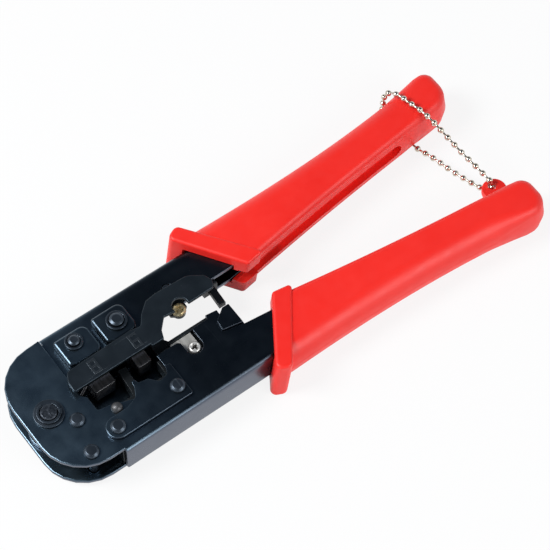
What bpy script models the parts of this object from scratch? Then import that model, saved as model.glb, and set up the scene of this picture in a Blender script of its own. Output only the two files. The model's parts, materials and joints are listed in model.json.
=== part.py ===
# Crimping tool for modular telephone and network plugs: a folded steel frame, a lever nested in it on a
# pivot pin, dies for two plug widths, a stripping station, two moulded grips and a ball chain.
# Plan positions are measured from the pivot: +X towards the handles, +Y towards the lever, and heights from
# the middle plane of the steel. Two empties carry the pieces to their place over the resting plane.
import math

import bmesh
import bpy
from mathutils import Matrix, Vector

# Driving dimensions in metres
GAP = 0.0003
SHEET = 0.0016
FRAME_HALF = 0.00685
REST_HALF = 0.0090
SIDES = 20

# Nose and arms of the two channels
NOSE_FRONT = 0.0091
NOSE_HALF = 0.0258
NOSE_RADIUS = 0.0170
NOSE_BACK = 0.0128
WEB_START = 0.0134
ARM_OUT = 0.0270
ARM_END = 0.1500
ARM_END_IN = 0.0202
ARM_NECK_X = 0.0920
ARM_NECK_IN = 0.0125
BEND_RADIUS = 0.0014
LEVER_END_RADIUS = 0.0080
LEVER_EDGE = 0.0030
LEVER_ARCH = 0.0136
LEVER_CLEAR = 0.0012
LEVER_SHOULDER = 0.0060
LEVER_LANDING = 0.0010
LANDING_LENGTH = 0.0110

# Pivot
PIVOT_RADIUS = 0.0030
PIVOT_HEAD_RADIUS = 0.0050
PIVOT_WASHER_RADIUS = 0.0054
PIVOT_CLIP_RADIUS = 0.0043
BUSH_WALL = 0.0011
WASHER_THICK = 0.0006
PIVOT_TIP = 0.0005

# Return spring
SPRING_RADIUS = 0.0056
SPRING_WIRE = 0.0011
SPRING_PITCH = 0.0016
SPRING_TURNS = 2.77

# Rivets
RIVET_HEAD = 0.0028
RIVET_RISE = 0.0012
RIVET_SHANK = 0.0016
NOSE_RIVETS = ((0.0065, -0.0075), (0.0037, -0.0202))
DIE_RIVETS = ((0.0159, -0.0184), (0.0410, -0.0176))

# Dies
BACK_TOP = 0.0060
PLATE_LEDGE = -0.0030
DIE_PLATE = 0.0013
DIE_PLATE_LOW = -0.0226
DIE_PLATE_RIGHT = 0.0440
NEST_LEFT = 0.0130
NEST_RIGHT = 0.0470
NEST_STEP = -0.0100
POCKET_FLOOR = -0.0095
POCKET_8_LEFT = 0.0152
POCKET_8_RIGHT = 0.0280
POCKET_6_LEFT = 0.0322
POCKET_6_RIGHT = 0.0420
TOOTH_TOP = 0.0018
TOOTH_NECK = 0.0027
WALL_8 = 0.0071
WALL_6 = 0.0062
PLATE_ROUND = 0.0041
PLATE_MARGIN = 0.0042
OPENING_MARGIN = 0.0010
OPENING_RELIEF = 0.0033
POST_AT = (0.0199, -0.0117)
POST_RADIUS = 0.0021
POST_RISE = 0.0019
POST_SHANK = 0.0011

# Punches with their pads, pins and rings
PUNCH_8_LEFT = 0.0183
PUNCH_8_RIGHT = 0.0265
PUNCH_8_TIP = -0.0010
PUNCH_6_LEFT = 0.0358
PUNCH_6_RIGHT = 0.0411
PUNCH_6_TIP = -0.0016
PUNCH_SHOULDER = 0.0009
PUNCH_STEP = 0.0045
PUNCH_TOP = 0.0215
PAD_RISE = 0.0032
PAD_8_LEFT = 0.0158
PAD_8_RIGHT = 0.0292
PAD_6_LEFT = 0.0313
PAD_6_RIGHT = 0.0440
PAD_LOW = 0.0095
PAD_TOP = 0.0217
PIN_8_AT = (0.0220, 0.0173)
PIN_6_AT = (0.0385, 0.0155)
PIN_8_RADIUS = 0.0021
PIN_6_RADIUS = 0.0026
RING_WIDTH = 0.0009
RING_THICK = 0.0007
PIN_RISE = 0.0018
PIN_SHANK = 0.0016
PIN_FOOT = 0.0010

# Guide plate
GUIDE_THICK = 0.0015
GUIDE_LEFT = 0.0109
GUIDE_LOW = 0.0004
GUIDE_HIGH = 0.0088
STUD_AT = ((0.0160, 0.0057), (0.0448, 0.0060))
STUD_RADIUS = 0.0019
STUD_TIP = 0.0012
NOTCH_OFFSET = (-0.0014, -0.0034)
NOTCH_RADIUS = 0.0030
MARK_HEIGHT = 0.0050
MARK_BAR = 0.0004
MARK_RISE = 0.0002
MARK_8_SHIFT = 0.0037
MARK_6_SHIFT = 0.0030

# Stripping station and cutter
BLADE_LEFT = 0.0486
BLADE_RIGHT = 0.0607
BLADE_EDGE = -0.0009
BLADE_BEVEL = (0.0006, 0.0008)
SEAT_RIGHT = 0.0646
SEAT_EDGE = 0.00015
SEAT_STEP = -0.0045
SEAT_LOW = -0.0140
SEAT_LIP = 0.0016
BLADE_SCREW_AT = (0.05505, -0.0077)
SCREW_HEAD = 0.0024
SCREW_RISE = 0.0013
SCREW_SHANK = 0.0013
ARCH_HALF = 0.00315
STRIP_RIGHT = 0.0742
STRIP_EDGE = -0.0011
STRIP_RISE = 0.0009
STRIP_SHELF = 0.0004
STRIP_SLANT = 0.0093
CUTTER_SCREW_AT = (0.0608, 0.0104)
TONGUE_RADIUS = 0.0035
TONGUE_FACE = -0.0005
TONGUE_THICK = 0.0014
CUTTER_PIN_AT = (0.0610, 0.0176)
CUTTER_REACH = 0.0062
CUTTER_LIFT = 0.0014
CUTTER_CLEAR = 0.0010
PEG_LEFT = 0.0730
PEG_WIDTH = 0.0027
PEG_TIP = 0.0029
PEG_ROOT = 0.0102

# Grips and chain
FLANGE_STEP = 0.0008
FLANGE_ROUND = 0.0010
GRIP_ROUND = 0.0040
END_ROUND = 0.0060
END_STEP = 0.0025
END_TUCK = (0.0006, 0.0008)
GRIP_FRONT_IN = 0.0010
GRIP_FRONT_OUT = 0.0165
GRIP_END = 0.1914
GRIP_MIDDLE = 0.1300
GRIP_SPAN = 0.0500
GRIP_WALL = 0.0048
GRIP_OUT_LEAN = 0.0018
GRIP_OUT_BOW = 0.0022
GRIP_OUT_FLARE = 0.0004
GRIP_INSET = 0.0008
GRIP_IN_LEAN = 0.0066
GRIP_IN_BOW = 0.0010
CAVITY_MOUTH = 0.0320
CAVITY_STEP = (0.0120, 0.0023)
SLOT_HALF = 0.0033
SLOT_END = 0.1650
SLOT_DEPTH = 0.0030
WINDOW_AHEAD = 0.0050
WINDOW_LENGTH = 0.0090
SILL_LENGTH = 0.0040
NECK_X = 0.1718
NECK_HALF = 0.0056
NECK_RADIUS = 0.0120
LUG_AT = (0.1807, -0.0166)
LUG_RADIUS = 0.0046
LUG_HALF = 0.0013
LUG_HOLE_AT = (0.1809, -0.0149)
LUG_HOLE = 0.0016
CHAIN_RADIUS = 0.0012
CHAIN_STEP = 0.0030
CONNECTOR_RADIUS = 0.00145
CONNECTOR_ENDS = ((0.1716, 0.0307, -0.0074), (0.1722, 0.0233, -0.0074))

# Route of the chain from the connector to the lug, back over the grip's face and round its outer side
CHAIN_ROUTE = (
    (0.17225, 0.0230, -0.0074),
    (0.1730, 0.0172, -0.0074),
    (0.1746, 0.0104, -0.0064),
    (0.1763, 0.0000, -0.0049),
    (0.1786, -0.0092, -0.0038),
    (0.1805, -0.0134, -0.0033),
    (0.1809, -0.0148, -0.0019),
    (0.1809, -0.0149, 0.0000),
    (0.1809, -0.0148, 0.0019),
    (0.1807, -0.0134, 0.0033),
    (0.1802, -0.0080, 0.0040),
    (0.1791, 0.0000, 0.0054),
    (0.1780, 0.0088, 0.0076),
    (0.1771, 0.0160, 0.0094),
    (0.1764, 0.0215, 0.0098),
    (0.1752, 0.0265, 0.0098),
    (0.1742, 0.0310, 0.00975),
    (0.1732, 0.0342, 0.0089),
    (0.1722, 0.0361, 0.0070),
    (0.1716, 0.0368, 0.0042),
    (0.1712, 0.0368, -0.0004),
    (0.1711, 0.0367, -0.0042),
    (0.1712, 0.0358, -0.0067),
    (0.1714, 0.0338, -0.0075),
    (0.1716, 0.0310, -0.0074),
)

# Outline details as offsets (x, y, corner radius) from a place that each outline names
STRIP_PROFILE = (
    (0.0, -0.0094, 0.0),
    (0.0, 0.0, 0.0004),
    (-0.0030, 0.0, 0.0),
    (-0.0048, -0.0016, 0.0),
    (-0.0047, 0.0006, 0.0),
    (-0.0093, 0.0012, 0.0003),
)
STRIP_BLOCK = ((-0.0076, -0.0036), (-0.0081, -0.0076))
JAW_HEEL = ((0.0, 0.0, 0.0005), (0.0015, 0.0048, 0.0010))
LEVER_STEP = ((-0.0010, 0.0, 0.0020), (0.0018, 0.0, 0.0005))
PLATE_NOTCH = ((0.0, 0.0009, 0.0004), (-0.0012, -0.0021, 0.0012), (-0.0048, -0.0029, 0.0012))
PLATE_TOOTH_RIGHT = ((0.0023, 0.0003, 0.0012), (-0.0012, 0.0009, 0.0004), (-0.0016, 0.0027, 0.0003))
PLATE_TOOTH_LEFT = ((0.0012, 0.0027, 0.0003), (0.0009, 0.0005, 0.0010), (-0.0010, -0.0031, 0.0022))
GUIDE_TAB = ((-0.0061, 0.0, 0.0), (-0.0061, -0.0009, 0.0), (-0.0012, -0.0009, 0.0), (0.0001, 0.0024, 0.0008))
GUIDE_RISER = ((0.0037, 0.0006, 0.0008),)
GUIDE_TAIL = (
    (-0.0002, 0.0, 0.0012),
    (0.0013, 0.0026, 0.0012),
    (0.0002, 0.0058, 0.0020),
    (-0.0051, 0.0094, 0.0040),
)
GUIDE_BACK = ((-0.0058, 0.0100, 0.0030), (-0.0102, 0.0094, 0.0015), (-0.0143, 0.0060, 0.0015))
GUIDE_STEP = ((-0.0172, -0.0006, 0.0012), (-0.0212, 0.0003, 0.0012))
GUIDE_NOSE_HIGH = ((0.0021, -0.0004, 0.0022),)
GUIDE_NOSE_LOW = ((0.0002, 0.0042, 0.0030),)
PAD_TOE = ((0.0, 0.0014, 0.0006), (0.0026, 0.0, 0.0010))
FLANGE_IN = ((-0.0034, -0.0056, 0.0016), (0.0044, -0.0044, 0.0012))
FLANGE_OUT = ((-0.0149, 0.0080, 0.0022), (-0.0204, 0.0054, 0.0022))

# Heights and places that follow from the sizes above
GRIP_HALF = REST_HALF - FLANGE_STEP
PEG_BLOCK_LEFT = PEG_LEFT - PEG_WIDTH / 2.0
FRAME_IN = FRAME_HALF - SHEET
LEVER_HALF = FRAME_IN - GAP
LEVER_IN = LEVER_HALF - SHEET
CORE_HALF = LEVER_IN - GAP
FACE_SEAT = FRAME_HALF + GAP
DIE_FACE = FACE_SEAT + DIE_PLATE
PAD_SEAT = LEVER_HALF + GAP
PAD_FACE = PAD_SEAT + PAD_RISE
GUIDE_SEAT = PAD_FACE + GAP
GUIDE_FACE = GUIDE_SEAT + GUIDE_THICK

# Outline helpers


def arc(centre, radius, start, end, steps):
    """Points on an arc, with angles in degrees."""
    points = []
    for step in range(steps + 1):
        angle = math.radians(start + (end - start) * step / steps)
        points.append((centre[0] + radius * math.cos(angle), centre[1] + radius * math.sin(angle)))
    return points


def rounded(corners, steps=4):
    """Outline through corners (x, y, radius), each rounded by an arc of its radius."""
    outline = []
    for index, (x, y, radius) in enumerate(corners):
        here = Vector((x, y))
        if radius == 0.0:
            outline.append((x, y))
            continue
        before = (Vector(corners[index - 1][:2]) - here).normalized()
        after = (Vector(corners[(index + 1) % len(corners)][:2]) - here).normalized()
        half = before.angle(after) / 2.0
        centre = here + (before + after).normalized() * radius / math.sin(half)
        first = here + before * radius / math.tan(half) - centre
        last = here + after * radius / math.tan(half) - centre
        turn = first.angle_signed(last)
        for step in range(steps + 1):
            spoke = first.copy()
            spoke.rotate(Matrix.Rotation(-turn * step / steps, 2))
            outline.append((centre.x + spoke.x, centre.y + spoke.y))
    return outline


def beside(x, y, offsets):
    """Outline corners at these offsets from a place."""
    return [(x + right, y + up, radius) for right, up, radius in offsets]


# Solid helpers


def carrier(name, height):
    """Empty on the pivot axis that carries one of the two halves."""
    empty = bpy.data.objects.new(name, None)
    empty.location = (-(GRIP_END - NOSE_FRONT) / 2.0, 0.0, height)
    bpy.context.scene.collection.objects.link(empty)
    return empty


def finish(name, mesh, smooth=False):
    """Object for a finished mesh; round pieces are shaded smooth."""
    bm = bmesh.new()
    bm.from_mesh(mesh)
    bmesh.ops.recalc_face_normals(bm, faces=bm.faces)
    bm.to_mesh(mesh)
    bm.free()
    if smooth:
        mesh.shade_smooth()
        mesh.set_sharp_from_angle(angle=math.radians(40.0))
    mesh.name = name
    obj = bpy.data.objects.new(name, mesh)
    bpy.context.scene.collection.objects.link(obj)
    return obj


def extruded(name, outline, low, high, rim=0.0, rim_steps=2, bend=None):
    """Plate or block over an outline; rim rounds all its edges, bend only those on the line y = bend."""
    bm = bmesh.new()
    floor = bm.faces.new([bm.verts.new((x, y, low)) for x, y in outline])
    raised = bmesh.ops.extrude_face_region(bm, geom=[floor])
    top = [item for item in raised["geom"] if isinstance(item, bmesh.types.BMVert)]
    bmesh.ops.translate(bm, verts=top, vec=(0.0, 0.0, high - low))
    flat = [edge for edge in bm.edges if abs(edge.verts[0].co.z - edge.verts[1].co.z) < GAP]
    if rim > 0.0:
        bmesh.ops.bevel(bm, geom=flat, offset=rim, segments=rim_steps, profile=0.5, affect="EDGES")
    if bend is not None:
        line = [edge for edge in flat if all(abs(vert.co.y - bend) < GAP for vert in edge.verts)]
        bmesh.ops.bevel(bm, geom=line, offset=BEND_RADIUS, segments=3, profile=0.5, affect="EDGES")
    mesh = bpy.data.meshes.new(name)
    bm.to_mesh(mesh)
    bm.free()
    return finish(name, mesh, smooth=rim > 0.0)


def turned(name, centre, profile, sides=SIDES):
    """Round piece about a vertical axis; profile runs down its outer side as (radius, height)."""
    bm = bmesh.new()
    rings = []
    for radius, height in profile:
        if radius == 0.0:
            rings.append([bm.verts.new((centre[0], centre[1], height))])
            continue
        rings.append([bm.verts.new((x, y, height)) for x, y in arc(centre, radius, 0.0, 360.0, sides)[:-1]])
    for upper, lower in zip(rings, rings[1:]):
        for side in range(sides):
            after = (side + 1) % sides
            corners = [upper[side % len(upper)], lower[side % len(lower)]]
            corners += [lower[after % len(lower)], upper[after % len(upper)]]
            bm.faces.new(list(dict.fromkeys(corners)))
    mesh = bpy.data.meshes.new(name)
    bm.to_mesh(mesh)
    bm.free()
    return finish(name, mesh, smooth=True)


def shaft(name, centre, radius, low, high):
    """Plain round shaft, also used as a drill."""
    return turned(name, centre, ((0.0, high), (radius, high), (radius, low), (0.0, low)))


def ring(name, centre, outer, inner, low, high):
    """Flat ring."""
    bore = shaft("ring_bore", centre, inner, low - SHEET, high + SHEET)
    return cut(shaft(name, centre, outer, low, high), bore)


def combine(obj, tool, operation):
    """Apply one Boolean and remove its tool."""
    boolean = obj.modifiers.new(operation, "BOOLEAN")
    boolean.operation = operation
    boolean.solver = "EXACT"
    boolean.object = tool
    graph = bpy.context.evaluated_depsgraph_get()
    mesh = bpy.data.meshes.new_from_object(obj.evaluated_get(graph))
    obj.modifiers.clear()
    mesh.name = obj.name
    obj.data = mesh
    bpy.data.objects.remove(tool)


def cut(obj, *tools):
    """Take tools out of a piece."""
    for tool in tools:
        combine(obj, tool, "DIFFERENCE")
    return obj


def join(obj, *others):
    """Fuse others into a piece."""
    for other in others:
        combine(obj, other, "UNION")
    return obj


def drill(obj, centre, radius):
    """Hole right through a piece, with clearance round a shaft of this radius."""
    return cut(obj, shaft("drill", centre, radius + GAP, -2.0 * REST_HALF, 2.0 * REST_HALF))


def paint(name, colour, roughness, metallic):
    """Principled material of one sub-part."""
    surface = bpy.data.materials.new(name)
    surface.use_nodes = True
    shader = surface.node_tree.nodes["Principled BSDF"]
    shader.inputs["Base Color"].default_value = (*colour, 1.0)
    shader.inputs["Roughness"].default_value = roughness
    shader.inputs["Metallic"].default_value = metallic
    return surface


BLACK_STEEL = ((0.018, 0.026, 0.042), 0.42, 0.7)
DARK_STEEL = ((0.022, 0.030, 0.036), 0.50, 0.6)
RIVET_STEEL = ((0.030, 0.040, 0.056), 0.35, 0.8)
BRIGHT_STEEL = ((0.56, 0.55, 0.51), 0.28, 1.0)
SPRING_STEEL = ((0.20, 0.20, 0.21), 0.35, 1.0)
BRASS = ((0.58, 0.40, 0.16), 0.25, 1.0)
CHAIN_METAL = ((0.66, 0.60, 0.48), 0.22, 1.0)
RED_PLASTIC = ((0.90, 0.026, 0.021), 0.45, 0.0)


def place(obj, parent, look):
    """Hang a piece on its carrier and give it its own material."""
    obj.parent = parent
    obj.data.materials.clear()
    obj.data.materials.append(paint(obj.name + "_paint", *look))
    return obj


# Channels


def hollow(half, web_line, sense):
    """Space between the two plates of a channel: open round the nose, closed by the web along the arm."""
    far = 2.0 * ARM_OUT
    end = ARM_END + far
    outline = [(-far, sense * far), (WEB_START, sense * far), (WEB_START, web_line)]
    outline += [(end, web_line), (end, -sense * far), (-far, -sense * far)]
    if sense > 0:
        outline.reverse()
    return extruded("hollow", outline, -half, half)


def frame_outline():
    """Plan of the frame's back plate, which closes the back of the die pockets."""
    screw_x, screw_y = BLADE_SCREW_AT
    floor = screw_y - ARCH_HALF + GAP
    shelf = STRIP_EDGE - STRIP_SHELF
    corners = [
        (-NOSE_FRONT, -NOSE_HALF, NOSE_RADIUS),
        (WEB_START, -NOSE_HALF, 0.0),
        (WEB_START, -ARM_OUT, 0.0),
        (ARM_END, -ARM_OUT, 0.0),
        (ARM_END, -ARM_END_IN, 0.0),
        (ARM_NECK_X, -ARM_NECK_IN, 0.0),
        *beside(STRIP_RIGHT, STRIP_EDGE, STRIP_PROFILE),
        (STRIP_RIGHT - STRIP_SLANT, shelf, 0.0),
        (screw_x + ARCH_HALF, shelf, 0.0008),
        (screw_x + ARCH_HALF, floor, 0.0030),
        (screw_x - ARCH_HALF, floor, 0.0030),
        (screw_x - ARCH_HALF, PLATE_LEDGE, 0.0015),
        (NEST_RIGHT, PLATE_LEDGE, 0.0),
        (NEST_RIGHT, BACK_TOP, 0.0020),
        (NOSE_BACK, BACK_TOP, 0.0),
        (NOSE_BACK, NOSE_HALF, 0.0003),
        (-NOSE_FRONT, NOSE_HALF, NOSE_RADIUS),
    ]
    return rounded(corners, steps=6)


def die_opening():
    """Opening of the front plate over the two die pockets."""
    left = POCKET_8_LEFT - OPENING_MARGIN
    right = POCKET_6_RIGHT + GAP
    relief = POCKET_FLOOR - OPENING_RELIEF
    above = BACK_TOP + SHEET
    corners = [
        (NOSE_BACK, above, 0.0),
        (NOSE_BACK, -0.0006, 0.0),
        (left, -0.0020, 0.0),
        (left, POCKET_FLOOR + 0.0012, 0.0008),
        (PUNCH_8_LEFT + 0.0004, POCKET_FLOOR + 0.0004, 0.0010),
        (POCKET_8_RIGHT - 0.0015, relief + 0.0008, 0.0010),
        (right, relief, 0.0020),
        (right, PLATE_LEDGE, 0.0003),
        (NEST_RIGHT + SHEET, PLATE_LEDGE + GAP, 0.0),
        (NEST_RIGHT + SHEET, above, 0.0),
    ]
    return extruded("die_opening", rounded(corners), 0.0, REST_HALF)


def make_frame(frame):
    body = extruded("frame_channel", frame_outline(), -FRAME_HALF, FRAME_HALF, bend=-ARM_OUT)
    cut(body, hollow(FRAME_IN, SHEET - ARM_OUT, -1), die_opening())
    drill(body, (0.0, 0.0), PIVOT_RADIUS)
    for at in NOSE_RIVETS + DIE_RIVETS:
        drill(body, at, RIVET_SHANK)
    cut(body, shaft("post_hole", POST_AT, POST_SHANK + GAP, 0.0, REST_HALF))
    return place(body, frame, BLACK_STEEL)


def lever_outline():
    """Plan of the lever's plates: a round end on the pivot, a broad jaw and an arched arm."""
    right = STUD_AT[1][0] + STUD_RADIUS + GAP
    landing = ARM_NECK_IN - LEVER_LANDING
    corners = [
        (WEB_START + 2.0 * GAP, LEVER_EDGE, 0.0),
        *beside(right, LEVER_EDGE, JAW_HEEL),
        (right + LEVER_SHOULDER, LEVER_ARCH, LEVER_END_RADIUS / 2.0),
        *beside(PEG_LEFT, LEVER_ARCH, LEVER_STEP[:1]),
        *beside(PEG_LEFT, landing, LEVER_STEP[1:]),
        (PEG_LEFT + LANDING_LENGTH, landing, 0.0),
        (ARM_NECK_X, ARM_NECK_IN, 0.0),
        (ARM_END, ARM_END_IN, 0.0),
        (ARM_END, ARM_OUT, 0.0),
        (WEB_START, ARM_OUT, 0.0),
        (WEB_START, NOSE_HALF - LEVER_CLEAR, 0.0),
        (LEVER_SHOULDER, NOSE_HALF - LEVER_CLEAR, LEVER_EDGE),
    ]
    return arc((0.0, 0.0), LEVER_END_RADIUS, 130.0, 300.0, 14) + rounded(corners)


def make_lever(lever):
    body = extruded("lever_channel", lever_outline(), -LEVER_HALF, LEVER_HALF, bend=ARM_OUT)
    cut(body, hollow(LEVER_IN, ARM_OUT - SHEET, 1))
    drill(body, (0.0, 0.0), PIVOT_RADIUS + GAP + BUSH_WALL)
    for at in (PIN_8_AT, PIN_6_AT):
        drill(body, at, PIN_SHANK)
    drill(body, CUTTER_PIN_AT, PIN_SHANK)
    for at in STUD_AT:
        cut(body, shaft("stud_hole", at, STUD_TIP + GAP, 0.0, REST_HALF))
    return place(body, lever, BLACK_STEEL)


# Pivot


def make_pivot(frame, lever):
    clip_seat = FACE_SEAT + WASHER_THICK + GAP
    tip = clip_seat + WASHER_THICK + PIVOT_TIP
    foot = -FACE_SEAT
    profile = (
        (0.0, tip),
        (PIVOT_RADIUS - PIVOT_TIP, tip),
        (PIVOT_RADIUS, tip - PIVOT_TIP),
        (PIVOT_RADIUS, foot),
        (PIVOT_HEAD_RADIUS, foot),
        (PIVOT_HEAD_RADIUS, -REST_HALF),
        (0.0, -REST_HALF),
    )
    place(turned("pivot_pin", (0.0, 0.0), profile), frame, RIVET_STEEL)
    bore = PIVOT_RADIUS + GAP
    washer = ring("pivot_washer", (0.0, 0.0), PIVOT_WASHER_RADIUS, bore, FACE_SEAT, FACE_SEAT + WASHER_THICK)
    place(washer, frame, RIVET_STEEL)
    clip = ring("pivot_clip", (0.0, 0.0), PIVOT_CLIP_RADIUS, bore, clip_seat, clip_seat + WASHER_THICK)
    mouth = arc((0.0, 0.0), PIVOT_WASHER_RADIUS, 40.0, 100.0, 4) + [(0.0, 0.0)]
    cut(clip, extruded("clip_mouth", mouth, FACE_SEAT, REST_HALF))
    ear = arc((0.0, 0.0), PIVOT_CLIP_RADIUS + GAP, -45.0, -20.0, 3)
    ear += arc((0.0, 0.0), bore + GAP, -20.0, -45.0, 3)
    join(clip, extruded("clip_ear", ear, clip_seat + GAP, tip))
    place(clip, frame, RIVET_STEEL)
    bush = ring("pivot_bush", (0.0, 0.0), bore + BUSH_WALL, bore, -LEVER_HALF, LEVER_HALF)
    place(bush, lever, SPRING_STEEL)


def spring_points():
    """Helix round the bush; one leg bears on a nose rivet, the other under the wide punch."""
    height = SPRING_PITCH * SPRING_TURNS / 2.0
    rivet_x, rivet_y = NOSE_RIVETS[0]
    reach = RIVET_SHANK + SPRING_WIRE / 2.0 + GAP
    near = (rivet_x + reach * 0.755, rivet_y + reach * 0.656)
    first = math.atan2(near[1], near[0]) + math.acos(SPRING_RADIUS / math.hypot(*near))
    ledge = (PUNCH_8_LEFT - SPRING_WIRE / 2.0 - GAP, PUNCH_STEP - SPRING_WIRE / 2.0 - GAP)
    last = math.atan2(ledge[1], ledge[0]) - math.acos(SPRING_RADIUS / math.hypot(*ledge))
    turns = math.floor(SPRING_TURNS)
    sweep = last - first + 2.0 * math.pi * (turns + 1 if last < first else turns)
    points = [(near[0], near[1], -height)]
    steps = 12 * (turns + 1)
    for step in range(steps + 1):
        angle = first + sweep * step / steps
        level = -height + 2.0 * height * step / steps
        points.append((SPRING_RADIUS * math.cos(angle), SPRING_RADIUS * math.sin(angle), level))
    points.append((ledge[0], ledge[1], height))
    return points


def tube(name, points, radius, resolution):
    """Round rod along a path, closed at both ends."""
    curve = bpy.data.curves.new(name, "CURVE")
    curve.dimensions = "3D"
    curve.bevel_depth = radius
    curve.bevel_resolution = resolution
    curve.use_fill_caps = True
    spline = curve.splines.new("POLY")
    spline.points.add(len(points) - 1)
    for knot, point in zip(spline.points, points):
        knot.co = (*point, 1.0)
    obj = bpy.data.objects.new(name, curve)
    bpy.context.scene.collection.objects.link(obj)
    return obj


# Rivets and screws


def rivet(name, at, face):
    """Rivet with a low domed head over this face and a flat foot that reaches the resting plane."""
    top = face + RIVET_RISE
    profile = (
        (0.0, top),
        (RIVET_HEAD * 0.6, top),
        (RIVET_HEAD * 0.9, top - RIVET_RISE * 0.3),
        (RIVET_HEAD, face + RIVET_RISE * 0.2),
        (RIVET_HEAD, face),
        (RIVET_SHANK, face),
        (RIVET_SHANK, -FACE_SEAT),
        (RIVET_HEAD, -FACE_SEAT),
        (RIVET_HEAD, -REST_HALF),
        (0.0, -REST_HALF),
    )
    return turned(name, at, profile)


def cross_screw(name, at, seat, end):
    """Pan head screw with a cross slot, standing on a seat and ending at the given height."""
    top = seat + SCREW_RISE
    profile = (
        (0.0, top),
        (SCREW_HEAD * 0.6, top),
        (SCREW_HEAD, top - SCREW_RISE * 0.5),
        (SCREW_HEAD, seat),
        (SCREW_SHANK, seat),
        (SCREW_SHANK, end),
        (0.0, end),
    )
    screw = turned(name, at, profile)
    length = SCREW_HEAD * 0.62
    width = SCREW_HEAD * 0.16
    for along, across in ((length, width), (width, length)):
        corners = [(at[0] - along, at[1] - across), (at[0] + along, at[1] - across)]
        corners += [(at[0] + along, at[1] + across), (at[0] - along, at[1] + across)]
        cut(screw, extruded("slot", corners, top - SCREW_RISE * 0.6, top + SCREW_RISE))
    return screw


# Dies and punches


def make_dies(frame):
    left = DIE_RIVETS[0][0] - PLATE_MARGIN
    brow = POST_AT[1] - POST_RADIUS - GAP
    corners = [
        (left, DIE_PLATE_LOW, PLATE_ROUND),
        (DIE_PLATE_RIGHT, DIE_PLATE_LOW, 0.0008),
        (DIE_PLATE_RIGHT, POCKET_FLOOR + PLATE_NOTCH[0][1], 0.0006),
        *beside(POCKET_6_RIGHT, POCKET_FLOOR, PLATE_NOTCH),
        *beside(POCKET_6_LEFT, POCKET_FLOOR, PLATE_TOOTH_RIGHT),
        *beside(POCKET_8_RIGHT, POCKET_FLOOR, PLATE_TOOTH_LEFT),
        (POST_AT[0] + POST_RADIUS + 2.0 * GAP, brow, 0.0012),
        (left, brow, PLATE_ROUND),
    ]
    plate = extruded("die_plate", rounded(corners), FACE_SEAT, DIE_FACE)
    nest_low = SHEET + GAP - ARM_OUT
    base = [(NEST_LEFT, nest_low), (NEST_RIGHT, nest_low), (NEST_RIGHT, NEST_STEP), (NEST_LEFT, NEST_STEP)]
    wall_8 = POCKET_FLOOR + WALL_8
    wall_6 = POCKET_FLOOR + WALL_6
    neck = POCKET_FLOOR + TOOTH_NECK
    core = [
        (NEST_LEFT, nest_low),
        (NEST_RIGHT, nest_low),
        (NEST_RIGHT, wall_6),
        (POCKET_6_RIGHT, wall_6),
        (POCKET_6_RIGHT, POCKET_FLOOR),
        (POCKET_6_LEFT, POCKET_FLOOR),
        (POCKET_6_LEFT - 0.0006, neck),
        (POCKET_6_LEFT + 0.0002, TOOTH_TOP - 0.0004),
        (POCKET_8_RIGHT + 0.0012, TOOTH_TOP),
        (POCKET_8_RIGHT + 0.0006, neck + 0.0002),
        (POCKET_8_RIGHT, POCKET_FLOOR),
        (POCKET_8_LEFT, POCKET_FLOOR),
        (POCKET_8_LEFT, wall_8),
        (NEST_LEFT, wall_8),
    ]
    nest = extruded("die_nest", base, -LEVER_HALF, LEVER_HALF)
    join(nest, extruded("nest_core", core, -CORE_HALF, CORE_HALF))
    for number, at in enumerate(DIE_RIVETS, start=1):
        drill(plate, at, RIVET_SHANK)
        drill(nest, at, RIVET_SHANK)
        place(rivet(f"die_rivet_{number}", at, DIE_FACE + GAP), frame, RIVET_STEEL)
    for number, at in enumerate(NOSE_RIVETS, start=1):
        place(rivet(f"nose_rivet_{number}", at, FACE_SEAT), frame, RIVET_STEEL)
    place(plate, frame, BLACK_STEEL)
    place(nest, frame, DARK_STEEL)
    dome = [
        (POST_RADIUS * math.sin(math.radians(angle)), FACE_SEAT + POST_RISE * math.cos(math.radians(angle)))
        for angle in (0, 25, 50, 72)
    ]
    dome[0] = (0.0, FACE_SEAT + POST_RISE)
    stem = [(POST_RADIUS, FACE_SEAT), (POST_SHANK, FACE_SEAT), (POST_SHANK, FRAME_IN), (0.0, FRAME_IN)]
    place(turned("latch_post", POST_AT, dome + stem), frame, BRIGHT_STEEL)


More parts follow.
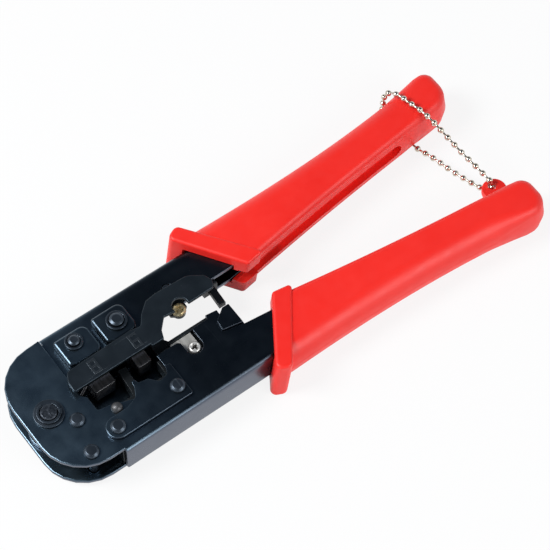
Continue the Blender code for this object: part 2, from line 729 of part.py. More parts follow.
def make_punch(lever, label, sides, pad, at, radius):
    """Punch between the lever's plates, with the pad, pin and ring that hold it."""
    left, right, tip = sides
    pad_left, pad_right = pad
    corners = [
        (left, tip, 0.0004),
        (right, tip, 0.0004),
        (right, PUNCH_STEP, 0.0),
        (right + PUNCH_SHOULDER, PUNCH_STEP, 0.0),
        (right + PUNCH_SHOULDER, PUNCH_TOP, 0.0),
        (left - PUNCH_SHOULDER, PUNCH_TOP, 0.0),
        (left - PUNCH_SHOULDER, PUNCH_STEP, 0.0),
        (left, PUNCH_STEP, 0.0),
    ]
    punch = drill(extruded(f"punch_{label}", rounded(corners, 2), -CORE_HALF, CORE_HALF), at, PIN_SHANK)
    place(punch, lever, BRIGHT_STEEL)
    corners = [
        *beside(pad_left, PAD_LOW, PAD_TOE),
        (pad_right, PAD_LOW, 0.0030),
        (pad_right, PAD_TOP, 0.0030),
        (pad_left, PAD_TOP, 0.0010),
    ]
    plate = drill(extruded(f"pad_{label}", rounded(corners), PAD_SEAT, PAD_FACE), at, PIN_SHANK)
    place(plate, lever, BLACK_STEEL)
    seat = PAD_FACE + GAP
    foot = -PAD_SEAT
    profile = (
        (0.0, seat + PIN_RISE),
        (radius * 0.75, seat + PIN_RISE),
        (radius, seat + PIN_RISE * 0.8),
        (radius, seat),
        (PIN_SHANK, seat),
        (PIN_SHANK, foot),
        (radius, foot),
        (radius, foot - PIN_FOOT),
        (0.0, foot - PIN_FOOT),
    )
    place(turned(f"punch_pin_{label}", at, profile), lever, RIVET_STEEL)
    inner = radius + GAP
    collar = ring(f"punch_ring_{label}", at, inner + RING_WIDTH, inner, seat, seat + RING_THICK)
    place(collar, lever, RIVET_STEEL)


# Guide plate with its numbers


def stroke(start, end):
    """Straight bar of a raised number, centred on the line between two points."""
    first = Vector(start)
    along = (Vector(end) - first).normalized() * MARK_BAR
    across = Vector((-along.y, along.x))
    last = Vector(end) + along
    first -= along
    corners = [first - across, last - across, last + across, first + across]
    return [(corner.x, corner.y) for corner in corners]


def number_mark(digit, at):
    """Raised seven-bar number, upright when read along the tool."""
    x, y = at
    half = MARK_HEIGHT * 0.25
    rows = [y, y + MARK_HEIGHT / 2.0, y + MARK_HEIGHT]
    bars = [((x - half, row), (x + half, row)) for row in rows]
    bars += [((x - half, rows[0]), (x - half, rows[2])), ((x + half, rows[0]), (x + half, rows[1]))]
    if digit == 8:
        bars.append(((x + half, rows[1]), (x + half, rows[2])))
    low = GUIDE_FACE - GUIDE_THICK / 2.0
    first, *others = [extruded("bar", stroke(*bar), low, GUIDE_FACE + MARK_RISE) for bar in bars]
    return join(first, *others)


def make_guide(lever):
    screw_x, screw_y = CUTTER_SCREW_AT
    centre = (screw_x + NOTCH_OFFSET[0], screw_y + NOTCH_OFFSET[1])
    notch = arc(centre, NOTCH_RADIUS, 200.0, -20.0, 8)
    start = notch[0]
    end = notch[-1]
    corners = [
        (GUIDE_LEFT, GUIDE_LOW, 0.0008),
        *beside(BLADE_LEFT, GUIDE_LOW, GUIDE_TAB),
        *beside(BLADE_LEFT, start[1], GUIDE_RISER),
    ]
    tail = [
        *beside(PEG_LEFT, end[1], GUIDE_TAIL),
        *beside(screw_x, end[1], GUIDE_BACK),
        *beside(screw_x, GUIDE_HIGH, GUIDE_STEP),
        *beside(GUIDE_LEFT, GUIDE_HIGH, GUIDE_NOSE_HIGH),
        *beside(GUIDE_LEFT, GUIDE_LOW, GUIDE_NOSE_LOW),
    ]
    outline = rounded(corners + [(x, y, 0.0) for x, y in (start, end)] + tail)
    where = outline.index(start)
    outline = outline[:where] + notch + outline[where + 2:]
    plate = extruded("guide_plate", outline, GUIDE_SEAT, GUIDE_FACE)
    for at in STUD_AT:
        profile = (
            (0.0, GUIDE_SEAT + GUIDE_THICK / 2.0),
            (STUD_RADIUS, GUIDE_SEAT + GUIDE_THICK / 2.0),
            (STUD_RADIUS, PAD_SEAT),
            (STUD_TIP, PAD_SEAT),
            (STUD_TIP, LEVER_IN),
            (0.0, LEVER_IN),
        )
        join(plate, turned("stud", at, profile))
    base = GUIDE_LOW + (GUIDE_HIGH - GUIDE_LOW - MARK_HEIGHT) / 2.0
    join(plate, number_mark(8, (PUNCH_8_LEFT + MARK_8_SHIFT, base)))
    join(plate, number_mark(6, (PUNCH_6_LEFT + MARK_6_SHIFT, base)))
    place(plate, lever, DARK_STEEL)


# Stripping station and cutter


def make_station(frame):
    strip = [(BLADE_LEFT, SEAT_LOW), (SEAT_RIGHT, SEAT_LOW), (SEAT_RIGHT, SEAT_EDGE), (BLADE_LEFT, SEAT_EDGE)]
    seat = extruded("blade_seat", strip, SEAT_LIP, CORE_HALF)
    block = [(BLADE_LEFT, SEAT_LOW), (SEAT_RIGHT, SEAT_LOW), (SEAT_RIGHT, SEAT_STEP), (BLADE_LEFT, SEAT_STEP)]
    join(seat, extruded("seat_block", block, -LEVER_HALF, CORE_HALF - GAP))
    inset, drop = BLADE_BEVEL
    bevel = BLADE_EDGE - drop
    corners = [(BLADE_LEFT, SEAT_LOW), (BLADE_RIGHT, SEAT_LOW), (BLADE_RIGHT, bevel)]
    corners += [(BLADE_RIGHT - inset, BLADE_EDGE), (BLADE_LEFT + inset, BLADE_EDGE), (BLADE_LEFT, bevel)]
    blade = extruded("stripper_blade", corners, LEVER_IN, LEVER_HALF)
    for piece in (seat, blade):
        drill(piece, BLADE_SCREW_AT, SCREW_SHANK)
    place(seat, frame, DARK_STEEL)
    place(blade, frame, BRIGHT_STEEL)
    screw = cross_screw("blade_screw", BLADE_SCREW_AT, LEVER_HALF + GAP, -LEVER_IN)
    place(screw, frame, BRIGHT_STEEL)
    corners = [
        (STRIP_RIGHT - GAP, STRIP_EDGE - GAP),
        (STRIP_RIGHT + STRIP_PROFILE[2][0], STRIP_EDGE - GAP),
        *[(STRIP_RIGHT + across, STRIP_EDGE + up) for across, up in STRIP_BLOCK],
        (STRIP_RIGHT - GAP, STRIP_EDGE + STRIP_PROFILE[0][1] + GAP),
    ]
    block = extruded("strip_block", corners, FACE_SEAT, FACE_SEAT + STRIP_RISE)
    place(block, frame, DARK_STEEL)


def make_cutter(lever):
    x, y = CUTTER_SCREW_AT
    low = LEVER_ARCH + CUTTER_LIFT
    left = CUTTER_PIN_AT[0] - CUTTER_REACH
    right = PEG_BLOCK_LEFT - CUTTER_CLEAR
    root = [(left, low), (right, low), (right, PUNCH_TOP), (left, PUNCH_TOP)]
    arm = extruded("cutter_arm", root, -CORE_HALF, CORE_HALF)
    tongue = arc((x, y), TONGUE_RADIUS, 180.0, 360.0, 10)
    tongue += [(x + TONGUE_RADIUS, low + SHEET), (x - TONGUE_RADIUS, low + SHEET)]
    join(arm, extruded("tongue", tongue, TONGUE_FACE - TONGUE_THICK, TONGUE_FACE))
    drill(arm, CUTTER_SCREW_AT, SCREW_SHANK)
    drill(arm, CUTTER_PIN_AT, PIN_SHANK)
    place(arm, lever, DARK_STEEL)
    pin = shaft("cutter_pin", CUTTER_PIN_AT, PIN_SHANK, -LEVER_HALF, LEVER_HALF)
    place(pin, lever, RIVET_STEEL)
    screw = cross_screw("cutter_screw", CUTTER_SCREW_AT, TONGUE_FACE + GAP, TONGUE_FACE - 2.0 * TONGUE_THICK)
    place(screw, lever, BRASS)


def make_peg(lever):
    left = PEG_BLOCK_LEFT
    right = PEG_LEFT + PEG_WIDTH * 1.6
    block = [(left, PEG_ROOT), (right, PEG_ROOT), (right, PUNCH_TOP), (left, PUNCH_TOP)]
    peg = extruded("stop_peg", block, -CORE_HALF, CORE_HALF)
    lean = PEG_WIDTH / 4.0
    root = PEG_ROOT + PEG_WIDTH
    post = [(PEG_LEFT, PEG_TIP), (PEG_LEFT + PEG_WIDTH, PEG_TIP)]
    post += [(PEG_LEFT + PEG_WIDTH + lean, root), (PEG_LEFT + lean, root)]
    join(peg, extruded("peg_post", post, -PEG_WIDTH / 2.0, PEG_WIDTH / 2.0))
    place(peg, lever, DARK_STEEL)


# Grips


def grip_outer(x):
    """Outer side of the upper grip, as a distance from the tool's axis."""
    t = (x - GRIP_MIDDLE) / GRIP_SPAN
    return ARM_OUT + GRIP_WALL + GRIP_OUT_LEAN * t + GRIP_OUT_BOW * t ** 2 + GRIP_OUT_FLARE * t ** 3


def grip_inner(x):
    """Inner side of the upper grip, as a distance from the tool's axis."""
    t = (x - GRIP_MIDDLE) / GRIP_SPAN
    return ARM_NECK_IN + GRIP_INSET + GRIP_IN_LEAN * t - GRIP_IN_BOW * t ** 2


def stations(start, end, count):
    """Evenly spaced places along the grip."""
    return [start + (end - start) * step / count for step in range(count + 1)]


def slot_cutter(start):
    """Long slot on the grip's inner side, with a round end, at an even depth under the curved side."""
    straight = SLOT_END - SLOT_HALF
    places = [(x, SLOT_HALF) for x in stations(start, straight, 7)]
    for degrees in (25.0, 50.0, 75.0):
        angle = math.radians(degrees)
        places.append((straight + SLOT_HALF * math.sin(angle), SLOT_HALF * math.cos(angle)))
    bm = bmesh.new()
    rings = []
    for x, half in places:
        floor = grip_inner(x) + SLOT_DEPTH
        corners = ((0.0, -half), (0.0, half), (floor, half), (floor, -half))
        rings.append([bm.verts.new((x, y, z)) for y, z in corners])
    for before, after in zip(rings, rings[1:]):
        for side in range(4):
            following = (side + 1) % 4
            bm.faces.new((before[side], before[following], after[following], after[side]))
    bm.faces.new(rings[0])
    bm.faces.new(rings[-1])
    mesh = bpy.data.meshes.new("slot")
    bm.to_mesh(mesh)
    bm.free()
    return finish("slot", mesh)


def grip_solid(name, cavity_half):
    """Moulded grip of the upper arm: flange, body, cavity, and a slot open to it before and after a sill."""
    front = ARM_NECK_X - GRIP_FRONT_OUT
    shoulder = GRIP_END - END_ROUND - END_STEP
    inner = [(x, grip_inner(x), 0.0) for x in stations(ARM_NECK_X - GRIP_FRONT_IN, shoulder, 6)]
    outer = [(x, grip_outer(x), 0.0) for x in reversed(stations(front, shoulder, 7))]
    end = [
        (GRIP_END, grip_inner(GRIP_END) + END_TUCK[0], END_ROUND),
        (GRIP_END, grip_outer(GRIP_END) - END_TUCK[1], END_ROUND),
    ]
    grip = extruded(name, rounded(inner + end + outer), -GRIP_HALF, GRIP_HALF, rim=GRIP_ROUND, rim_steps=3)
    flange = beside(ARM_NECK_X, ARM_NECK_IN, FLANGE_IN) + beside(ARM_NECK_X, ARM_OUT, FLANGE_OUT)
    join(grip, extruded("flange", rounded(flange), -REST_HALF, REST_HALF, rim=FLANGE_ROUND))
    mouth = ARM_NECK_X - CAVITY_MOUTH
    wall = ARM_OUT + GAP
    back, drop = CAVITY_STEP
    cavity = [
        (mouth, wall),
        (mouth, ARM_NECK_IN - drop),
        (ARM_NECK_X - back, ARM_NECK_IN - drop),
        (ARM_NECK_X, ARM_NECK_IN - GAP),
        (ARM_END + GAP, ARM_END_IN - GAP),
        (ARM_END + GAP, wall),
    ]
    cut(grip, extruded("cavity", cavity, -cavity_half, cavity_half), slot_cutter(mouth))
    sill = ARM_NECK_X + WINDOW_AHEAD
    for left, right in ((mouth, sill - SILL_LENGTH), (sill, sill + WINDOW_LENGTH)):
        window = [(left, 0.0), (right, 0.0), (right, ARM_END_IN), (left, ARM_END_IN)]
        cut(grip, extruded("window", window, GAP - SLOT_HALF, SLOT_HALF - GAP))
    return grip


def neck_cutter():
    """Roller across the grip's underside that leaves a saddle for the chain."""
    roller = shaft("roller", (0.0, 0.0), NECK_RADIUS, -2.0 * ARM_OUT, 2.0 * ARM_OUT)
    roller.data.transform(Matrix.Rotation(math.pi / 2.0, 4, "X"))
    roller.data.transform(Matrix.Translation((NECK_X, ARM_OUT, -NECK_HALF - NECK_RADIUS)))
    return roller


def make_grips(frame, lever):
    upper = grip_solid("upper_grip", LEVER_HALF + GAP)
    cut(upper, neck_cutter())
    place(upper, lever, RED_PLASTIC)
    lower = grip_solid("lower_grip", FRAME_HALF + GAP)
    lower.data.transform(Matrix.Diagonal((1.0, -1.0, 1.0, 1.0)))
    lower.data.flip_normals()
    x = LUG_AT[0]
    lug = arc(LUG_AT, LUG_RADIUS, -20.0, 200.0, 12)
    root = -grip_inner(x) - SLOT_DEPTH
    lug += [(x - LUG_RADIUS, root), (x + LUG_RADIUS, root)]
    join(lower, extruded("lug", lug, -LUG_HALF, LUG_HALF))
    cut(lower, shaft("lug_hole", LUG_HOLE_AT, LUG_HOLE, -REST_HALF, REST_HALF))
    place(lower, frame, RED_PLASTIC)


# Chain


def smooth_path(route, spacing):
    """Points along a smooth curve through the route, about one spacing apart."""
    knots = [Vector(point) for point in route]
    points = [knots[0]]
    for index in range(len(knots) - 1):
        before = knots[max(index - 1, 0)]
        start, end = knots[index], knots[index + 1]
        after = knots[min(index + 2, len(knots) - 1)]
        steps = max(1, round((end - start).length / spacing))
        for step in range(1, steps + 1):
            t = step / steps
            bend = (2.0 * before - 5.0 * start + 4.0 * end - after) * t * t
            twist = (3.0 * start - before - 3.0 * end + after) * t ** 3
            points.append((2.0 * start + (end - before) * t + bend + twist) / 2.0)
    return points


def make_chain(frame, lever):
    path = smooth_path(CHAIN_ROUTE, CHAIN_STEP)
    place(tube("safety_chain", path, CHAIN_RADIUS, 2), frame, CHAIN_METAL)
    first, last = (Vector(end) for end in CONNECTOR_ENDS)
    length = (last - first).length
    chamfer = CONNECTOR_RADIUS * 0.3
    profile = (
        (0.0, length),
        (CONNECTOR_RADIUS - chamfer, length),
        (CONNECTOR_RADIUS, length - chamfer),
        (CONNECTOR_RADIUS, chamfer),
        (CONNECTOR_RADIUS - chamfer, 0.0),
        (0.0, 0.0),
    )
    barrel = turned("chain_connector", (0.0, 0.0), profile, sides=12)
    barrel.data.transform((last - first).to_track_quat("Z", "Y").to_matrix().to_4x4())
    barrel.data.transform(Matrix.Translation(first))
    place(barrel, lever, CHAIN_METAL)


def main():
    for old in list(bpy.data.objects):
        bpy.data.objects.remove(old)
    frame = carrier("frame_axis", REST_HALF)
    lever = carrier("lever_axis", REST_HALF)
    make_frame(frame)
    make_lever(lever)
    make_pivot(frame, lever)
    place(tube("return_spring", spring_points(), SPRING_WIRE / 2.0, 1), frame, SPRING_STEEL)
    make_dies(frame)
    wide = (PUNCH_8_LEFT, PUNCH_8_RIGHT, PUNCH_8_TIP)
    narrow = (PUNCH_6_LEFT, PUNCH_6_RIGHT, PUNCH_6_TIP)
    make_punch(lever, "8", wide, (PAD_8_LEFT, PAD_8_RIGHT), PIN_8_AT, PIN_8_RADIUS)
    make_punch(lever, "6", narrow, (PAD_6_LEFT, PAD_6_RIGHT), PIN_6_AT, PIN_6_RADIUS)
    make_guide(lever)
    make_station(frame)
    make_cutter(lever)
    make_peg(lever)
    make_grips(frame, lever)
    make_chain(frame, lever)


main()
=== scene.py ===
# Looks of a crimping tool for modular plugs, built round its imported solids.
# Plan positions are measured from the pivot and heights from the middle plane of the steel, in metres.
import json
import math

import bmesh
import bpy
from mathutils import Matrix, Vector, noise

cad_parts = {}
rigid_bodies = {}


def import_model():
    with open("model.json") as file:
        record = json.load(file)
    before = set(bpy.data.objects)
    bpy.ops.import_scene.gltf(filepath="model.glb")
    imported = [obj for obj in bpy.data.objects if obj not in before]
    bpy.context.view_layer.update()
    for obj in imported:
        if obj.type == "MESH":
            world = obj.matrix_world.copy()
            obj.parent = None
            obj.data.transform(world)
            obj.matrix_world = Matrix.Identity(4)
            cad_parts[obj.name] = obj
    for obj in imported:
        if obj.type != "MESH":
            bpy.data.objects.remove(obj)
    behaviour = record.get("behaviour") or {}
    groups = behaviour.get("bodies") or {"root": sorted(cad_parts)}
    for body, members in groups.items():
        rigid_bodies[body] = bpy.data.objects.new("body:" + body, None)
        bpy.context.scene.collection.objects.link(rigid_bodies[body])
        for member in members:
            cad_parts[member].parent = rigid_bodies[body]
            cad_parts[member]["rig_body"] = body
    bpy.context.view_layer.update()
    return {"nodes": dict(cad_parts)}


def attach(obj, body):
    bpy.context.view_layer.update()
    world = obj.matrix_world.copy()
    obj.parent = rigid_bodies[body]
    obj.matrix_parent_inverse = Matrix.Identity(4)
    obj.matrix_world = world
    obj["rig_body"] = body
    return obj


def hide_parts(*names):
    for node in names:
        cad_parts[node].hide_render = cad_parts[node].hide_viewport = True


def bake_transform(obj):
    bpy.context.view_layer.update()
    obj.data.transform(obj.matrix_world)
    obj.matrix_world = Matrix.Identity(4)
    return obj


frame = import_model()
NODES = frame["nodes"]
ORIGIN = Vector((-0.09115, 0.0, 0.0090))

# Camera at the photograph's viewing angle
CAMERA_AT = Vector((-0.25778, -0.35589, 0.77215))
CAMERA_TARGET = Vector((0.00292, -0.00129, 0.01585))
CAMERA_LENS = 163.8

# Sizes shared with the solids
GAP = 0.0003
SHEET = 0.0016
FRAME_HALF = 0.00685
REST_HALF = 0.0090
LEVER_HALF = 0.00495
LEVER_IN = 0.00335
FACE_SEAT = 0.00715
DIE_FACE = 0.00845
PAD_SEAT = 0.00525
PAD_FACE = 0.00845
GUIDE_FACE = 0.01025
NUMBERS_START = GUIDE_FACE + 0.0001
CORE_HALF = LEVER_IN - GAP
CORE_TOP = 0.0215
PIN_SHANK = 0.0016
NOSE_REACH = 0.0110
BEND_START = -0.0240
ARM_OUT = 0.0270
ARM_END = 0.1500
ARM_END_IN = 0.0202
ARM_NECK_X = 0.0920
ARM_NECK_IN = 0.0125
BEND_RADIUS = 0.0014
BEND_GROWTH = 2.4

# Cutter screw and its tongue
CUTTER_SCREW_AT = Vector((0.0608, 0.0104))
CUTTER_HEAD = 0.0027
TONGUE_RADIUS = 0.0025
TONGUE_HALF = 0.0035
TONGUE_FACE = -0.0005
TONGUE_THICK = 0.0014
CUTTER_PIN_AT = (0.0610, 0.0176)
SCREW_SHANK = 0.0013
BLADE_EDGE = -0.0015
BLADE_SETBACK = 0.0006
BLADE_SIDE = 0.0574
BLADE_SCREW_AT = (0.05505, -0.0077)
NEST_WALL = -0.0033

# Chain
CHAIN_ROUTE = (
    (0.17225, 0.0230, -0.0074),
    (0.1730, 0.0172, -0.0074),
    (0.1746, 0.0104, -0.0064),
    (0.1763, 0.0000, -0.0049),
    (0.1786, -0.0092, -0.0038),
    (0.1805, -0.0134, -0.0033),
    (0.1809, -0.0148, -0.0019),
    (0.1809, -0.0149, 0.0000),
    (0.1809, -0.0148, 0.0019),
    (0.1807, -0.0134, 0.0033),
    (0.1802, -0.0080, 0.0040),
    (0.1791, 0.0000, 0.0054),
    (0.1780, 0.0088, 0.0076),
    (0.1771, 0.0160, 0.0094),
    (0.1764, 0.0215, 0.0098),
    (0.1752, 0.0265, 0.0098),
    (0.1742, 0.0310, 0.00975),
    (0.1732, 0.0342, 0.0089),
    (0.1722, 0.0361, 0.0070),
    (0.1716, 0.0368, 0.0042),
    (0.1712, 0.0368, -0.0004),
    (0.1711, 0.0367, -0.0042),
    (0.1712, 0.0358, -0.0067),
    (0.1714, 0.0338, -0.0075),
    (0.1716, 0.0310, -0.0074),
)
CHAIN_DIAMETER = 0.0024
CHAIN_SPACING = 0.0004
BEAD_PITCH = 0.0036
LINK_RADIUS = 0.00042
CONNECTOR_ENDS = (Vector((0.1716, 0.0307, -0.0074)), Vector((0.1722, 0.0233, -0.0074)))
CONNECTOR_RADIUS = 0.00145


def make_camera():
    data = bpy.data.cameras.new("photo_camera")
    data.lens = CAMERA_LENS
    data.clip_start = 0.05
    data.clip_end = 20.0
    camera = bpy.data.objects.new("photo_camera", data)
    bpy.context.scene.collection.objects.link(camera)
    camera.location = CAMERA_AT
    camera.rotation_euler = (CAMERA_TARGET - CAMERA_AT).to_track_quat("-Z", "Y").to_euler()
    bpy.context.scene.camera = camera


# Materials


class Look:
    """Principled material with short calls for its nodes."""

    def __init__(self, name, roughness, metallic, **settings):
        self.material = bpy.data.materials.new(name)
        self.material.use_nodes = True
        self.tree = self.material.node_tree
        self.shader = self.tree.nodes["Principled BSDF"]
        self.place = self.node("TexCoord").outputs["Object"]
        self.shader.inputs["Roughness"].default_value = roughness
        self.shader.inputs["Metallic"].default_value = metallic
        for key, value in settings.items():
            self.shader.inputs[key.replace("_", " ")].default_value = value

    def node(self, kind, inputs=(), **settings):
        made = self.tree.nodes.new("ShaderNode" + kind)
        for key, value in settings.items():
            setattr(made, key, value)
        for key, value in dict(inputs).items():
            self.feed(made.inputs[key], value)
        return made

    def feed(self, socket, value):
        if isinstance(value, bpy.types.NodeSocket):
            self.tree.links.new(value, socket)
        else:
            socket.default_value = value

    def grain(self, scale, detail=3.0, stretch=(1.0, 1.0, 1.0), turn=0.0):
        """Noise from 0 to 1 with features about 1 / scale metres wide."""
        placing = {"Vector": self.place, "Scale": stretch, "Rotation": (0.0, 0.0, turn)}
        mapped = self.node("Mapping", placing)
        inputs = {"Vector": mapped.outputs["Vector"], "Scale": scale, "Detail": detail}
        return self.node("TexNoise", inputs).outputs["Fac"]

    def span(self, value, low, high, to_low=0.0, to_high=1.0):
        """Value moved from one range to another, and kept in it."""
        inputs = {"Value": value, "From Min": low, "From Max": high, "To Min": to_low, "To Max": to_high}
        return self.node("MapRange", inputs).outputs["Result"]

    def sum(self, operation, first, second):
        made = self.node("Math", operation=operation)
        self.feed(made.inputs[0], first)
        self.feed(made.inputs[1], second)
        return made.outputs[0]

    def mix(self, share, first, second):
        """Colour between two colours."""
        made = self.node("Mix", data_type="RGBA")
        for index, value in ((0, share), (6, first), (7, second)):
            socket = made.inputs[index]
            self.feed(socket, (*value, 1.0) if isinstance(value, tuple) else value)
        return made.outputs[2]

    def edges(self, radius, low, high):
        """1 on edges, 0 on flat ground."""
        soft = self.node("Bevel", {"Radius": radius}, samples=6).outputs["Normal"]
        plain = self.node("NewGeometry").outputs["Normal"]
        dot = self.node("VectorMath", operation="DOT_PRODUCT")
        self.feed(dot.inputs[0], soft)
        self.feed(dot.inputs[1], plain)
        return self.span(dot.outputs["Value"], low, high)

    def heights(self, low, high):
        """0 below a height over the middle plane and 1 above another."""
        axes = self.node("SeparateXYZ", {"Vector": self.place})
        return self.span(axes.outputs["Z"], ORIGIN.z + low, ORIGIN.z + high)

    def along(self, low, high):
        """0 left of a place on the tool's length and 1 right of another."""
        axes = self.node("SeparateXYZ", {"Vector": self.place})
        return self.span(axes.outputs["X"], ORIGIN.x + low, ORIGIN.x + high)

    def level(self):
        """1 on level faces, 0 on upright ones."""
        axes = self.node("SeparateXYZ", {"Vector": self.node("NewGeometry").outputs["Normal"]})
        return self.span(self.sum("ABSOLUTE", axes.outputs["Z"], 0.0), 0.35, 0.85)

    def colour(self, value):
        self.feed(self.shader.inputs["Base Color"], value)

    def rough(self, value):
        self.feed(self.shader.inputs["Roughness"], value)

    def bump(self, height, strength, depth):
        made = self.node("Bump", {"Strength": strength, "Distance": depth, "Height": height})
        self.feed(self.shader.inputs["Normal"], made.outputs["Normal"])


def steel(name, dark, light, bare_and_highlight, roughness, metallic, highlight_wear_share=1.0, rubbed=None, deep=None, side=None):
    """Blackened steel: clouded oxide, fine grain, hairline scratches, and paler edges, partly wear and
    partly painted highlight.

    Rubbed is a height above which it is evenly rubbed. Level faces darken to the deep colour towards the
    grips, which is painted shade for the sheen that fades there, and upright ones take the side colour, a
    painted brightness of their own.
    """
    look = Look(name, roughness, metallic)
    clouds = look.span(look.grain(110.0, 4.0), 0.32, 0.68)
    base = look.mix(clouds, dark, light)
    # Painted shade: level faces darken towards the grips, and upright faces keep a painted brightness of
    # their own.
    if deep is not None:
        base = look.mix(look.along(0.0, 0.0500), base, deep)
        base = look.mix(look.level(), side, base)
    speck = look.span(look.grain(1500.0, 2.0), 0.70, 0.80, 0.0, 0.25)
    base = look.mix(speck, base, bare_and_highlight)
    scratch = look.span(look.grain(420.0, 2.0, (1.0, 0.05, 1.0), 0.9), 0.70, 0.76, 0.0, 0.30)
    base = look.mix(scratch, base, bare_and_highlight)
    # Edges lighten to the bare colour, partly wear and partly a painted highlight for the light their
    # rounding catches.
    patches = look.span(look.grain(700.0), 0.30, 0.62, highlight_wear_share * 0.3, highlight_wear_share)
    worn_highlight_mask = look.sum("MULTIPLY", look.edges(0.00045, 0.97, 0.80), patches)
    if rubbed is not None:
        above = look.heights(rubbed - 0.00010, rubbed)
        worn_highlight_mask = look.sum("MULTIPLY", worn_highlight_mask, look.span(above, 0.0, 1.0, 1.0, 0.4))
        worn_highlight_mask = look.sum("ADD", worn_highlight_mask, look.span(above, 0.0, 1.0, 0.0, 0.16))
    look.colour(look.mix(worn_highlight_mask, base, bare_and_highlight))
    look.rough(look.span(look.grain(170.0), 0.3, 0.7, roughness - 0.03, roughness + 0.05))
    look.bump(look.grain(3800.0, 2.0), 0.05, 0.00008)
    return look.material


def ground_steel(name, dark, light, roughness, turn=0.0, metallic=1.0, shaded_below=None):
    """Bare steel with the fine lines that grinding leaves."""
    look = Look(name, roughness, metallic)
    lines = look.grain(900.0, 3.0, (1.0, 0.04, 1.0), turn)
    stain = look.span(look.grain(160.0, 4.0), 0.35, 0.70)
    base = look.mix(look.span(lines, 0.3, 0.7), dark, light)
    base = look.mix(look.sum("MULTIPLY", stain, 0.35), base, dark)
    # Below the given heights the colour darkens to painted shade, as in a screw's recess and under its head.
    look.colour(base if shaded_below is None else look.mix(look.heights(*shaded_below), SCREW_SHADE, base))
    look.rough(look.span(lines, 0.3, 0.7, roughness - 0.07, roughness + 0.09))
    look.bump(lines, 0.12, 0.00005)
    return look.material


def cast_metal(name, dark, light, roughness, scale, metallic=1.0, shaded_below=None):
    """Plated or peened metal with small dents and a film of tarnish."""
    look = Look(name, roughness, metallic)
    tarnish = look.span(look.grain(scale, 4.0), 0.35, 0.65)
    base = look.mix(tarnish, light, dark)
    # Below the given heights the colour darkens to painted shade, as in a screw's recess and under its head.
    look.colour(base if shaded_below is None else look.mix(look.heights(*shaded_below), SCREW_SHADE, base))
    look.rough(look.span(look.grain(scale * 2.0), 0.3, 0.7, roughness - 0.05, roughness + 0.10))
    look.bump(look.grain(scale * 1.4, 2.0), 0.22, 0.0001)
    return look.material


def red_plastic():
    """Moulded plastic: an even red, faint flow clouds, a fine spark texture and paler scuffed edges."""
    look = Look("red_plastic_look", 0.42, 0.0, IOR=1.5)
    clouds = look.span(look.grain(38.0, 4.0), 0.35, 0.68)
    base = look.mix(clouds, (0.87, 0.018, 0.011), (0.94, 0.025, 0.016))
    patches = look.span(look.grain(420.0), 0.4, 0.7, 0.1, 0.5)
    scuff = look.sum("MULTIPLY", look.edges(0.0006, 0.975, 0.82), patches)
    look.colour(look.mix(scuff, base, (0.98, 0.10, 0.085)))
    look.rough(look.span(look.grain(260.0, 4.0), 0.3, 0.7, 0.37, 0.48))
    look.bump(look.sum("ADD", look.grain(2600.0, 2.0), look.grain(240.0, 2.0)), 0.05, 0.00012)
    return look.material


# Painted shade for the low parts of the screws: their recess floors and the flanks of their heads.
SCREW_SHADE = (0.03, 0.027, 0.024)
# The deep colour paints shade on level faces towards the grips; the side colour paints the brightness of
# upright faces.
BLACK = steel(
    "black_steel_look",
    (0.122, 0.178, 0.226),
    (0.146, 0.212, 0.270),
    (0.24, 0.27, 0.30),
    0.29,
    1.0,
    0.5,
    deep=(0.036, 0.047, 0.060),
    side=(0.132, 0.148, 0.186),
)
# Pad sides take a darker side colour, painted shade that keeps their upright faces dim.
PAD = steel(
    "pad_steel_look",
    (0.122, 0.178, 0.226),
    (0.146, 0.212, 0.270),
    (0.24, 0.27, 0.30),
    0.30,
    1.0,
    0.12,
    deep=(0.036, 0.047, 0.060),
    side=(0.080, 0.100, 0.124),
)
CHARCOAL = steel(
    "dark_steel_look",
    (0.007, 0.010, 0.012),
    (0.010, 0.014, 0.017),
    (0.14, 0.16, 0.18),
    0.44,
    0.35,
)
RIVET = steel(
    "rivet_steel_look",
    (0.060, 0.076, 0.096),
    (0.080, 0.100, 0.124),
    (0.22, 0.25, 0.28),
    0.36,
    0.95,
    0.5,
)
MARKED = steel(
    "guide_plate_look",
    (0.030, 0.041, 0.052),
    (0.040, 0.053, 0.066),
    (0.20, 0.22, 0.24),
    0.40,
    0.92,
    1.0,
    NUMBERS_START,
)
PUNCH = ground_steel("punch_steel_look", (0.13, 0.13, 0.135), (0.28, 0.28, 0.285), 0.34, 1.57, 0.8)
BRIGHT = ground_steel("bright_steel_look", (0.46, 0.45, 0.415), (0.64, 0.63, 0.59), 0.34, 0.0, 0.45)
SATIN = cast_metal("post_steel_look", (0.07, 0.072, 0.075), (0.14, 0.143, 0.148), 0.42, 900.0, 0.70)
SPRING = ground_steel("spring_steel_look", (0.12, 0.12, 0.13), (0.26, 0.26, 0.27), 0.30)
CROWN = cast_metal("peened_steel_look", (0.040, 0.048, 0.060), (0.11, 0.125, 0.150), 0.36, 1300.0, 0.95)
BRASS = cast_metal(
    "brass_look",
    (0.80, 0.62, 0.31),
    (0.98, 0.84, 0.52),
    0.24,
    900.0,
    0.45,
    (0.0001, 0.0005),
)
SCREW = ground_steel(
    "screw_steel_look",
    (0.62, 0.61, 0.58),
    (0.84, 0.83, 0.80),
    0.28,
    0.8,
    0.55,
    (0.0059, 0.0064),
)
NICKEL = cast_metal("chain_metal_look", (0.52, 0.46, 0.36), (0.78, 0.74, 0.66), 0.14, 700.0)
RED = red_plastic()

# Mesh helpers


